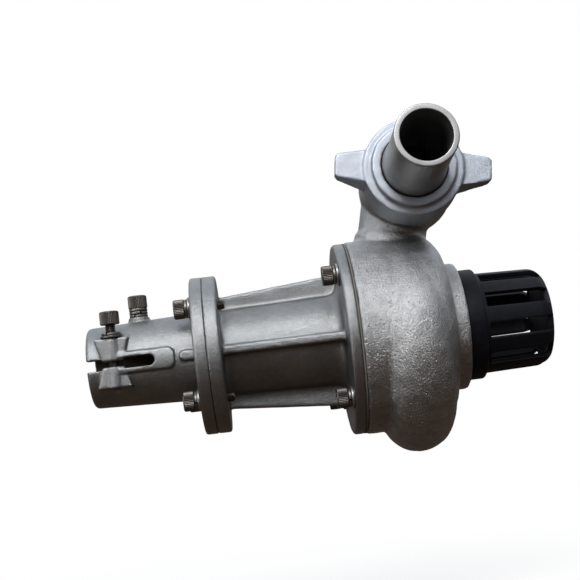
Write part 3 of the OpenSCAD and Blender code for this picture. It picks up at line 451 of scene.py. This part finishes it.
strainer_plastic = dull_mass("strainer_plastic", (0.0045, 0.0052, 0.0090), (0.0025, 0.0028, 0.0045),
                             0.40, dust=0.03, shine=0.14)
gasket_rubber = dull_mass("gasket_rubber", (0.030, 0.028, 0.026), (0.014, 0.013, 0.012), 0.62,
                          dust=0.25)
gasket_board = dull_mass("gasket_board", (0.17, 0.16, 0.14), (0.10, 0.092, 0.08), 0.70)
seal_ceramic = dull_mass("seal_ceramic", (0.86, 0.83, 0.76), (0.78, 0.75, 0.68), 0.25)
seal_carbon = dull_mass("seal_carbon", (0.05, 0.05, 0.052), (0.03, 0.03, 0.032), 0.35)
print("moulded finishes:", strainer_plastic.name, gasket_rubber.name, seal_ceramic.name)

# %% [markdown]
# ## Surfaces from arrays
# Most small pieces are turned or swept. Their points are worked out as whole arrays on
# a grid of two parameters, and one function turns a grid into quads. A local frame says
# where a piece stands: an origin, the direction it points in and two directions across.

# %% Grids and local frames


def grid_quads(rows, columns):
    """Quads between neighbouring rows, with the columns closed into a ring."""
    i, j = np.meshgrid(np.arange(rows - 1), np.arange(columns), indexing="ij")
    k = (j + 1) % columns
    corners = [i * columns + j, i * columns + k, (i + 1) * columns + k, (i + 1) * columns + j]
    return np.stack(corners, -1).reshape(-1, 4)


def local_frame(origin, along, across):
    """Origin in mm and three unit vectors: along, across and their cross product."""
    along = np.array(along, float) / np.linalg.norm(along)
    across = np.array(across, float) / np.linalg.norm(across)
    return np.array(origin, float), np.stack([along, across, np.cross(along, across)])


def placed(points, where):
    """Local points (along, across, third) in mm, moved into the shared frame in metres."""
    origin, axes = where
    return (origin + points @ axes) * MM


SHAFT = local_frame((0, 0, 0), (1, 0, 0), (0, 1, 0))
NUT_FACE = np.array([193.8, -47.0, 87.6])
OUTLET_DIRECTION = np.array([0.0, -math.cos(OUTLET_TILT), math.sin(OUTLET_TILT)])
OUTLET = local_frame(NUT_FACE, OUTLET_DIRECTION, (1, 0, 0))
print("the outlet points to", OUTLET_DIRECTION.round(3))

# %% [markdown]
# Every piece is finished in the same way. Doubled points are merged, so that seams and
# poles close. The faces are turned outwards, because a face that points inwards shades
# wrong. Then the piece is shaded smooth up to a crease angle, gets its finish, and rides
# on its body in place of the CAD nodes that it stands for.

# %% From arrays to a finished piece
MERGE_WITHIN = 1e-7


def sheet_mesh(name, points, faces):
    """A plain mesh from an array of points and an array of faces."""
    mesh = bpy.data.meshes.new(name)
    mesh.from_pydata(points.tolist(), [], faces.tolist())
    return mesh


def finished_piece(name, parts, body, stands_for, finish, crease=35.0):
    """Joins (points, faces) pairs into one mesh: the faces of each pair count on from
    the points before it."""
    points = np.concatenate([p.reshape(-1, 3) for p, _ in parts])
    starts = np.cumsum([0] + [p.reshape(-1, 3).shape[0] for p, _ in parts])
    faces = np.concatenate([f + s for (_, f), s in zip(parts, starts)])
    mesh = sheet_mesh(name, points, faces)
    return settle(name, mesh, body, stands_for, finish, crease)


def settle(name, mesh, body, stands_for, finish, crease=35.0):
    """Merges doubles, turns the faces outwards, shades by angle and hands the piece over."""
    work = bmesh.new()
    work.from_mesh(mesh)
    bmesh.ops.remove_doubles(work, verts=work.verts, dist=MERGE_WITHIN)
    bmesh.ops.recalc_face_normals(work, faces=work.faces)
    work.to_mesh(mesh)
    work.free()
    mesh.shade_smooth()
    mesh.set_sharp_from_angle(angle=math.radians(crease))
    mesh.materials.clear()
    mesh.materials.append(finish)
    piece = bpy.data.objects.new(name, mesh)
    bpy.context.scene.collection.objects.link(piece)
    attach(piece, body)
    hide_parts(*stands_for)
    print(name, "has", len(mesh.polygons), "faces")
    return piece


print("points merge within", MERGE_WITHIN / MM, "mm")

# %% [markdown]
# Turned parts are a profile carried round an axis, as on a lathe. The Screw modifier
# could do the same, but here the profile's roundings are wanted too: each corner says
# how round it is, so a size can be changed without drawing the arcs again.

# %% Rounded profiles and turned surfaces


def rounded(corners, steps=5):
    """A profile of (along, radius, rounding) corners in which each rounding is an arc
    that touches both sides: its ends lie rounding / tan(half the angle) from the corner."""
    corners = [np.array(c, float) for c in corners]
    line = [corners[0][:2]]
    for before, here, after in zip(corners, corners[1:], corners[2:]):
        p, size = here[:2], here[2]
        if size <= 0:
            line.append(p)
            continue
        a = (before[:2] - p) / np.linalg.norm(before[:2] - p)
        b = (after[:2] - p) / np.linalg.norm(after[:2] - p)
        half = math.acos(np.clip(a @ b, -1, 1)) / 2
        start, end = p + a * size / math.tan(half), p + b * size / math.tan(half)
        middle = p + (a + b) / np.linalg.norm(a + b) * size / math.sin(half)
        t = np.linspace(0, 1, steps)[:, None]
        chord = start + (end - start) * t
        ray = chord - middle
        line.extend(middle + ray / np.linalg.norm(ray, axis=1, keepdims=True) * size)
    line.append(corners[-1][:2])
    return np.array(line)


def turned(profile, where, sides=144):
    """A profile of (along, radius) carried round the axis: along stays, and the radius
    is shared out as radius cos(angle) and radius sin(angle)."""
    angle = np.linspace(0, 2 * np.pi, sides, endpoint=False)
    along = np.repeat(profile[:, :1], sides, 1)
    points = np.stack([along, profile[:, 1:2] * np.cos(angle), profile[:, 1:2] * np.sin(angle)], -1)
    return placed(points.reshape(-1, 3), where), grid_quads(len(profile), sides)


disc_profile = np.array([[0, 0], [0, 1], [1, 1], [1, 0]])
print("a turned disc has", len(turned(disc_profile, SHAFT)[1]), "quads")

# %% [markdown]
# ## Screws
# Ten socket head screws of one thread size hold the pump together. The CAD model has
# them as plain cylinders. From a step away the thread shows below the clamp screw's
# head, so the rod's radius follows a triangle wave that climbs one pitch in each turn.

# %% Threaded rod
PITCH, SCREW_R, THREAD_DEPTH = 1.0, 2.98, 0.50
TIP_SHARE, INTO_HEAD, ROWS_PER_PITCH = 0.78, 0.2, 6


def threaded_rod(length, where, sides=40):
    """Radius = outer radius less a triangle wave of (along / pitch - turns), so the
    crest climbs one pitch in each turn. The tip narrows over its last pitch."""
    rows = int(length / PITCH * ROWS_PER_PITCH) + 1
    along, turns = np.meshgrid(np.linspace(-length, INTO_HEAD, rows), np.arange(sides) / sides,
                               indexing="ij")
    wave = np.abs(((along / PITCH - turns) % 1.0) * 2 - 1)
    tip = np.clip((along + length) / PITCH, 0, 1)
    radius = (SCREW_R - THREAD_DEPTH * wave) * (TIP_SHARE + (1 - TIP_SHARE) * tip)
    angle = turns * 2 * np.pi
    points = np.stack([along, radius * np.cos(angle), radius * np.sin(angle)], -1)
    on_axis = np.zeros((1, sides, 3))
    points = np.concatenate([on_axis + (-length, 0, 0), points, on_axis + (INTO_HEAD, 0, 0)])
    return placed(points.reshape(-1, 3), where), grid_quads(rows + 2, sides)


print("a rod of 20 mm has", len(threaded_rod(20.0, SHAFT)[1]), "quads")

# %% [markdown]
# The head is one more surface. It runs from under the head, up the knurled side, over
# the rounded edge and down into the hexagon socket, so its radius depends on the angle
# in two places: ripples on the side, and the hexagon's radius in the socket. Cutting
# the socket with a Boolean would leave a rough rim that is hard to shade.

# %% Socket head
HEAD_R, FOOT_ROUND, TOP_ROUND, ARC_ROWS = 5.5, 0.35, 0.55, 6
KNURL_PROUD, KNURL_DEPTH, KNURL_INSET, KNURL_ROWS, KNURL_TEETH = 0.15, 0.34, 0.1, 6, 36
SOCKET_R, SOCKET_DEPTH, SOCKET_TIP = 2.9, 3.2, 0.7
SOCKET_RIM, SOCKET_CHAMFER, CHAMFER_DEPTH = 0.5, 0.12, 0.2
HEXAGON_SHARES = (0.6, 1.0, 1.0, 1.0, 0.0)
SIXTH = math.pi / 3


def socket_head(height, where, sides=144):
    """The side loses depth times 1 - |sin(teeth * angle / 2)|. In the socket the radius
    is multiplied by cos(30 degrees) / cos(angle from the nearest flat's middle), which
    makes the circle a hexagon; the shares say how much of it each socket row takes."""
    plain_r = HEAD_R - KNURL_PROUD
    edge = rounded([(0, 0, 0), (0, plain_r, FOOT_ROUND), (height, plain_r, TOP_ROUND),
                    (height, 0, 0)], ARC_ROWS)
    foot, top = edge[:ARC_ROWS + 1], edge[ARC_ROWS + 1:-1]
    knurled = np.linspace(FOOT_ROUND + KNURL_INSET, height - TOP_ROUND - KNURL_INSET, KNURL_ROWS)
    grip = np.stack([knurled, np.full(KNURL_ROWS, HEAD_R)], 1)
    socket = [(height, SOCKET_R + SOCKET_RIM), (height, SOCKET_R + SOCKET_CHAMFER),
              (height - CHAMFER_DEPTH, SOCKET_R), (height - SOCKET_DEPTH, SOCKET_R),
              (height - SOCKET_DEPTH - SOCKET_TIP, 0.0)]
    profile = np.concatenate([foot, grip, top, socket])
    knurl_share = np.zeros(len(profile))
    knurl_share[len(foot):len(foot) + KNURL_ROWS] = 1.0
    hexagon_share = np.zeros(len(profile))
    hexagon_share[-len(socket):] = HEXAGON_SHARES
    angle = np.linspace(0, 2 * np.pi, sides, endpoint=False)
    ripple = 1 - np.abs(np.sin(angle * KNURL_TEETH / 2))
    hexagon = math.cos(SIXTH / 2) / np.cos((angle + SIXTH / 2) % SIXTH - SIXTH / 2)
    radius = profile[:, 1:2] - knurl_share[:, None] * KNURL_DEPTH * ripple
    radius = radius * (1 - hexagon_share[:, None] * (1 - hexagon))
    along = np.repeat(profile[:, :1], sides, 1)
    points = np.stack([along, radius * np.cos(angle), radius * np.sin(angle)], -1)
    return placed(points.reshape(-1, 3), where), grid_quads(len(profile), sides)


print("a head of 6 mm has", len(socket_head(6.0, SHAFT)[1]), "quads")

# %% [markdown]
# Four screws join the clamp to the bracket and four the bracket to the volute. They
# stand on two circles, halfway between the ribs, on a plain and a spring washer. The
# clamp screw and the locating screw have taller heads and stand upright.

# %% Screws in their places
BOLT_TURNS = np.radians([45, 135, 225, 315])


def bolt_circle(along_shaft, circle):
    """Four frames between the ribs, whose heads point back along the shaft."""
    frames = []
    for turn in BOLT_TURNS:
        out = np.array([0.0, -math.sin(turn), math.cos(turn)])
        seat = np.array([along_shaft, 0, 0]) + circle / 2 * out
        frames.append(local_frame(seat, (-1, 0, 0), out))
    return frames


SLEEVE_END, DISC_BACK = 61.6, 145.9
SPRING_T, WASHER_T = 1.8, 1.4
CLAMP_PLACE, LOCK_PLACE = np.array([15.4, -20.8, 14.6]), np.array([30.0, 0.0, 26.4])
FLANGE_CIRCLE, CASING_CIRCLE = 73.0, 96.7
BOLT_HEAD, TALL_HEAD = 6.2, 7.4
FLANGE_SCREW, CASING_SCREW, CLAMP_SCREW, LOCATING_SCREW = 22.4, 21.0, 34.0, 17.4
BARE_THREAD, LOOSE_FIT, LOCATING_WASHERS = 4.6, 0.02, 3
UP, SIDE = (0, 0, 1), (1, 0, 0)


def screws(name, frames, height, length):
    """One piece for all the screws of a node."""
    parts = [part for w in frames for part in (threaded_rod(length, w), socket_head(height, w))]
    finished_piece(name + "_fine", parts, "casing", [name], black_steel, 28)


STACK = WASHER_T + SPRING_T
clamp_seat = CLAMP_PLACE + (0, 0, STACK + BARE_THREAD)
locating_seat = LOCK_PLACE + (0, 0, LOCATING_WASHERS * (SPRING_T + LOOSE_FIT))
screws("flange_screws", bolt_circle(SLEEVE_END - STACK, FLANGE_CIRCLE), BOLT_HEAD, FLANGE_SCREW)
screws("casing_screws", bolt_circle(DISC_BACK - STACK, CASING_CIRCLE), BOLT_HEAD, CASING_SCREW)
screws("clamp_screw", [local_frame(clamp_seat, UP, SIDE)], TALL_HEAD, CLAMP_SCREW)
screws("locating_screw", [local_frame(locating_seat, UP, SIDE)], TALL_HEAD, LOCATING_SCREW)

# %% [markdown]
# ## Washers
# A spring washer is one coil of nearly square wire: a rounded section carried along a
# slowly climbing arc, closed by a point at each end. A curve with a bevel could follow
# the same arc, but it would twist the section. A plain washer is turned, with its
# punched edges a little round.

# %% Spring washers and plain washers
SPRING_IN_R, SPRING_OUT_R, WIRE_T, WIRE_ROUND = 3.3, 5.3, 1.5, 0.3
SPRING_RISE, HALF_SPLIT, ARC_STEPS = 0.26, 0.09, 60
WASHER_BORE_R, WASHER_R = 3.3, 6.2
OUT_EDGE, TOP_EDGE, BORE_EDGE = 0.25, 0.4, 0.2


def spring_washer(where, turn=30.0):
    """Section points at each angle of the arc: the radius is that of the section, and
    the height climbs by the rise over the arc. The ends close on the section's middle."""
    middle_r = (SPRING_IN_R + SPRING_OUT_R) / 2
    corner = rounded([(0, middle_r, 0), (0, SPRING_OUT_R, WIRE_ROUND),
                      (WIRE_T, SPRING_OUT_R, WIRE_ROUND), (WIRE_T, SPRING_IN_R, WIRE_ROUND),
                      (0, SPRING_IN_R, WIRE_ROUND), (0, middle_r, 0)], 4)[:-1]
    arc = np.linspace(HALF_SPLIT, 2 * np.pi - HALF_SPLIT, ARC_STEPS)
    climb = SPRING_RISE * (arc - HALF_SPLIT) / (2 * np.pi)
    angle = arc + math.radians(turn)
    along = corner[None, :, 0] + climb[:, None]
    radius = np.repeat(corner[None, :, 1], len(arc), 0)
    points = np.stack([along, radius * np.cos(angle)[:, None], radius * np.sin(angle)[:, None]], -1)
    middle = points.mean(1, keepdims=True)[[0, -1]]
    ends = np.repeat(middle, len(corner), 1)
    points = np.concatenate([ends[:1], points, ends[1:]])
    return placed(points.reshape(-1, 3), where), grid_quads(len(points), len(corner))


def plain_washer(where):
    """A flat ring whose four edges are rounded, carried round the screw's axis."""
    middle_r = (WASHER_R + WASHER_BORE_R) / 2
    profile = rounded([(0, middle_r, 0), (0, WASHER_R, OUT_EDGE), (WASHER_T, WASHER_R, TOP_EDGE),
                       (WASHER_T, WASHER_BORE_R, BORE_EDGE), (0, WASHER_BORE_R, BORE_EDGE),
                       (0, middle_r, 0)], 4)
    return turned(profile, where, 96)


print("a spring washer has", len(spring_washer(SHAFT)[1]), "quads")

# %% [markdown]
# Under each of the eight bolts lie a plain washer and a spring washer. The clamp screw
# has one pair, and the locating screw has three spring washers and no plain one. The
# splits point different ways, because nobody lines them up when the screw goes in.

# %% Washers in their places
UPRIGHT_SPLIT, NEXT_SPLIT = 250.0, 40.0


def washers(name, frames, shape, finish):
    """One piece for all the washers of a node."""
    parts = [shape(w) for w in frames]
    finished_piece(name + "_fine", parts, "casing", [name], finish, 40)


def raised(frames, height):
    """The same frames, moved along their own direction."""
    return [(origin + height * axes[0], axes) for origin, axes in frames]


washers("flange_spring_washers", bolt_circle(SLEEVE_END - WASHER_T, FLANGE_CIRCLE), spring_washer,
        spring_steel)
washers("flange_washers", bolt_circle(SLEEVE_END, FLANGE_CIRCLE), plain_washer, zinc)
washers("casing_spring_washers", bolt_circle(DISC_BACK - WASHER_T, CASING_CIRCLE), spring_washer,
        spring_steel)
washers("casing_washers", bolt_circle(DISC_BACK, CASING_CIRCLE), plain_washer, zinc)
clamp_frame, lock_frame = local_frame(CLAMP_PLACE, UP, SIDE), local_frame(LOCK_PLACE, UP, SIDE)
washers("clamp_washer", [clamp_frame], plain_washer, black_steel)
washers("clamp_spring_washer", raised([clamp_frame], WASHER_T),
        lambda where: spring_washer(where, UPRIGHT_SPLIT), spring_steel)
finished_piece("locating_spring_washers_fine",
               [spring_washer(where, UPRIGHT_SPLIT + NEXT_SPLIT * i)
                for i in range(LOCATING_WASHERS)
                for where in raised([lock_frame], i * (SPRING_T + LOOSE_FIT))],
               "casing", ["locating_spring_washers"], spring_steel, 40)

# %% [markdown]
# ## The hose tail
# The tail is turned: a collar that the nut holds, a short taper and a straight seat for
# the hose. One closed profile carried round the outlet axis makes it whole, bore and
# all, so the mouth keeps the thin round lip that a hose slides over. Distances count
# outwards from the front face of the nut.

# %% Hose tail
TAIL_END, TAIL_BORE_R, SEAT_R, SEAT_START = 54.0, 13.75, 16.9, 18.0
SHOULDER_R, SHOULDER_END = 18.1, 4.35
COLLAR_R, COLLAR_FRONT, COLLAR_BACK = 21.7, -1.0, -5.0
BORE_SEAM = 20.0
TAIL_PROFILE = [(BORE_SEAM, TAIL_BORE_R, 0), (TAIL_END, TAIL_BORE_R, 0.5),
                (TAIL_END, SEAT_R, 0.7), (SEAT_START, SEAT_R, 6.0),
                (SHOULDER_END, SHOULDER_R, 0.8), (COLLAR_FRONT, SHOULDER_R, 0),
                (COLLAR_FRONT, COLLAR_R, 0.4), (COLLAR_BACK, COLLAR_R, 0.4),
                (COLLAR_BACK, TAIL_BORE_R, 0.4), (BORE_SEAM, TAIL_BORE_R, 0)]
finished_piece("hose_tail_turned", [turned(rounded(TAIL_PROFILE, 8), OUTLET, 192)], "hose_tail",
               ["hose_tail"], tail_metal, 40)

# %% [markdown]
# ## Modifiers that are applied at once
# Solidify, Bevel and Remesh do well what would be long to write, such as the rounded
# edges round a slot. They run on a spare object, and only the resulting mesh is kept.
# Doubled points are merged first, because an open seam would become a gap in the wall.

# %% Meshes through modifiers
MERGE_BEFORE = 2e-6


def modified(mesh, modifiers):
    """Runs (type, settings) modifiers on a merged mesh and returns the result."""
    work = bmesh.new()
    work.from_mesh(mesh)
    bmesh.ops.remove_doubles(work, verts=work.verts, dist=MERGE_BEFORE)
    bmesh.ops.recalc_face_normals(work, faces=work.faces)
    work.to_mesh(mesh)
    work.free()
    holder = bpy.data.objects.new("holder", mesh)
    bpy.context.scene.collection.objects.link(holder)
    for kind, settings in modifiers:
        modifier = holder.modifiers.new(kind, kind)
        for key, value in settings.items():
            setattr(modifier, key, value)
    seen = holder.evaluated_get(bpy.context.evaluated_depsgraph_get())
    result = bpy.data.meshes.new_from_object(seen)
    bpy.data.objects.remove(holder)
    return result


print("doubles merge within", MERGE_BEFORE / MM, "mm before a modifier")

# %% [markdown]
# ## The strainer
# The strainer is a moulded ring with a basket that keeps stones out. The basket is a
# turned sheet with ten slots, which run on over its rounded end. Cutting ten boxes out
# of a cup would leave ragged faces on the round part. Here the grid's columns follow
# the slots instead: at each station half a slot takes asin(half width / radius), so the
# slot stays parallel while its bars widen. The faces in a slot are then left out.

# %% Basket profile
BASKET_START, BASKET_START_R = 221.0, 29.5
BASKET_END, BASKET_END_R, BASKET_ROUND = 265.7, 28.3, 8.4
END_DISC_R, END_POLE_R, ROW_STEP = 6.0, 0.01, 1.6


def basket_rows():
    """Stations and radii from the ring to the end's pole, about one row step apart."""
    profile = rounded([(BASKET_START, BASKET_START_R, 0), (BASKET_END, BASKET_END_R, BASKET_ROUND),
                       (BASKET_END, END_DISC_R, 0), (BASKET_END, END_POLE_R, 0)], 14)
    line = [profile[0]]
    for a, b in zip(profile[:-1], profile[1:]):
        count = max(int(np.linalg.norm(b - a) / ROW_STEP), 1)
        line.extend(a + (b - a) * t for t in np.linspace(0, 1, count + 1)[1:])
    return np.array(line)


print("basket rows:", len(basket_rows()))

# %% [markdown]
# The slots begin a little behind the ring and stop short of the middle of the end, so
# the rows nearest to those two places are moved onto them. Each slot has a few columns
# and each bar a few more. Solidify then gives the sheet its wall, inwards, and Bevel
# breaks the edges of the slots.

# %% Slotted sheet
SLOTS, HALF_SLOT, SLOT_START, SLOT_STOP_R = 10, 4.5, 227.6, 24.8
BAR_TURN, SLOT_COLUMNS, BAR_COLUMNS = math.radians(12.8), 6, 8
WALL, SLOT_EDGE, EDGE_ANGLE = 3.0, 0.35, math.radians(40)


def basket_sheet():
    """Outer skin: (x, -r sin(angle), r cos(angle)), with the angle from the slot or bar
    that the column belongs to. Returns the points and the quads that are kept."""
    x, r = basket_rows().T
    start = np.argmin(np.abs(x - SLOT_START))
    x[start] = SLOT_START
    stop = len(r) - 1 - np.argmin(np.abs(r[::-1] - SLOT_STOP_R))
    r[stop] = SLOT_STOP_R
    half = np.arcsin(HALF_SLOT / np.maximum(r, SLOT_STOP_R))[:, None, None]
    period = 2 * np.pi / SLOTS
    centres = (BAR_TURN + (np.arange(SLOTS) + 0.5) * period)[None, :, None]
    slot_angles = centres + half * np.linspace(-1, 1, SLOT_COLUMNS + 1)[:-1]
    bar_angles = centres + half + (period - 2 * half) * np.arange(BAR_COLUMNS) / BAR_COLUMNS
    angle = np.concatenate([slot_angles, bar_angles], 2).reshape(len(x), -1)
    columns = angle.shape[1]
    points = np.stack([np.repeat(x[:, None], columns, 1), -r[:, None] * np.sin(angle),
                       r[:, None] * np.cos(angle)], -1)
    quads = grid_quads(len(x), columns)
    row, column = quads[:, 0] // columns, quads[:, 0] % columns
    in_slot = column % (SLOT_COLUMNS + BAR_COLUMNS) < SLOT_COLUMNS
    open_part = (row >= start) & (row < stop) & in_slot
    return placed(points.reshape(-1, 3), SHAFT), quads[~open_part]


basket = modified(sheet_mesh("basket", *basket_sheet()), [
    ("SOLIDIFY", {"thickness": WALL * MM, "offset": -1.0, "use_even_offset": True}),
    ("BEVEL", {"width": SLOT_EDGE * MM, "segments": 2, "limit_method": "ANGLE",
               "angle_limit": EDGE_ANGLE})])
print("the basket has", len(basket.polygons), "faces")

# %% [markdown]
# The ring that a hand grips and the neck that screws into the casing are turned as one
# closed profile. Ring and basket are one moulding on the real pump, so both meshes are
# joined into one piece. The basket's open rim ends inside the ring, where it is hidden.

# %% Ring, neck and the whole strainer
NECK_START, NECK_R, NECK_BORE_R = 203.4, 24.65, 20.0
RING_START, RING_END, RING_R = 215.75, 225.6, 32.2
LIP_R, LIP_END, LIP_IN_R = 29.8, 227.0, 27.0
FUNNEL_R, FUNNEL_END, NECK_SEAM = 24.0, 217.5, 210.0

ring_profile = rounded([
    (NECK_SEAM, NECK_BORE_R, 0), (NECK_START, NECK_BORE_R, 0.4), (NECK_START, NECK_R, 0.8),
    (RING_START, NECK_R, 0.4), (RING_START, RING_R, 0.8), (RING_END, RING_R, 1.2),
    (RING_END, LIP_R, 0.5), (LIP_END, LIP_IN_R, 0.3), (BASKET_START, FUNNEL_R, 0.5),
    (FUNNEL_END, NECK_BORE_R, 0.5), (NECK_SEAM, NECK_BORE_R, 0)], 6)
ring = sheet_mesh("ring", *turned(ring_profile, SHAFT, 160))
join = bmesh.new()
join.from_mesh(basket)
join.from_mesh(ring)
join.to_mesh(basket)
join.free()
settle("strainer_basket", basket, "strainer", ["strainer"], strainer_plastic,
       32)

# %% [markdown]
# ## Castings
# The clamp, the bracket, the volute and the wing nut are one lump of metal each, and no
# edge of a casting is sharp. The CAD mesh already has every wall and hole, so a copy of
# it is merged, rebuilt on a fine voxel grid and smoothed a little: each crease turns
# into a small fillet and each edge into a soft round one. A Bevel would need clean
# edges, which the many cuts of a casting don't have. Waves of a few millimetres then
# make the skin uneven, as sand does.

# %% Waves of an uneven skin
WAVE_SIZE = 9.0
rng = np.random.default_rng(7)


def uneven(points, size, height, waves=28):
    """A sum of sine waves in seeded random directions, with wavelengths round size."""
    direction = rng.normal(size=(waves, 3))
    direction /= np.linalg.norm(direction, axis=1, keepdims=True)
    pace = 2 * np.pi / (size * rng.uniform(0.6, 1.8, waves))
    shift = rng.uniform(0, 2 * np.pi, waves)
    waves_at = np.sin(points @ (direction * pace[:, None]).T + shift)
    return height * waves_at.mean(1) * math.sqrt(waves)


print("waves are", WAVE_SIZE, "mm wide, give or take")

# %% [markdown]
# The four castings differ in size and in care. The voxels are as fine as the smallest
# fillet that should stay, the passes say how soft the edges get, and the bumps how
# rough the mould was: most on the volute, least on the clamp, whose bore has to fit.

# %% Soft copies of the cast nodes


def vertex_array(mesh, attribute):
    """One row of three numbers for each vertex: its place (co) or its normal."""
    values = np.zeros(len(mesh.vertices) * 3)
    mesh.vertices.foreach_get(attribute, values)
    return values.reshape(-1, 3)


def soft_casting(node, body, voxel, passes, bumps, finish):
    """A merged, voxel remeshed and smoothed copy, pushed along its normals by waves."""
    mesh = modified(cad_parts[node].data.copy(), [
        ("REMESH", {"mode": "VOXEL", "voxel_size": voxel * MM, "adaptivity": 0.0}),
        ("SMOOTH", {"factor": 0.5, "iterations": passes})])
    points, normals = vertex_array(mesh, "co"), vertex_array(mesh, "normal")
    points = points + normals * uneven(points, WAVE_SIZE * MM, bumps * MM)[:, None]
    mesh.vertices.foreach_set("co", points.ravel())
    settle(node + "_cast", mesh, body, [node], finish, 80)


soft_casting("volute_casing", "casing", 1.1, 3, 0.10, volute_skin)
soft_casting("bearing_bracket", "casing", 1.0, 2, 0.03, bracket_skin)
soft_casting("tube_clamp", "casing", 0.66, 1, 0.02, bracket_skin)
soft_casting("wing_nut", "wing_nut", 0.6, 5, 0.04, nut_skin)

# %% [markdown]
# ## Carried-over nodes
# The gaskets, the shaft, the bearings, the seal and the impeller have the right shape
# already, and most of them are out of sight. They keep their CAD mesh and only get a
# finish, which comes from one table of finishes and node names.

# %% Finishes of the CAD nodes that stay
KEPT = {
    gasket_board: ["casing_gasket"],
    gasket_rubber: ["hose_tail_gasket", "inlet_gasket", "dust_seal", "seal_seat_cup",
                    "seal_bellows"],
    shaft_metal: ["pump_shaft", "bearing_spacer", "impeller_key", "impeller_nut"],
    ring_metal: ["bearing_outer_rings", "bearing_inner_rings", "bearing_balls"],
    spring_steel: ["bore_snap_ring", "shaft_snap_rings", "seal_spring", "seal_spring_holders"],
    cage_brass: ["bearing_cages"],
    zinc: ["impeller_washer"],
    seal_ceramic: ["seal_seat"],
    seal_carbon: ["seal_face"],
    impeller_skin: ["impeller"],
}
for finish, names in KEPT.items():
    for name in names:
        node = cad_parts[name]
        node.data.materials.clear()
        node.data.materials.append(finish)
print("kept nodes:", sum(len(n) for n in KEPT.values()))

# %% [markdown]
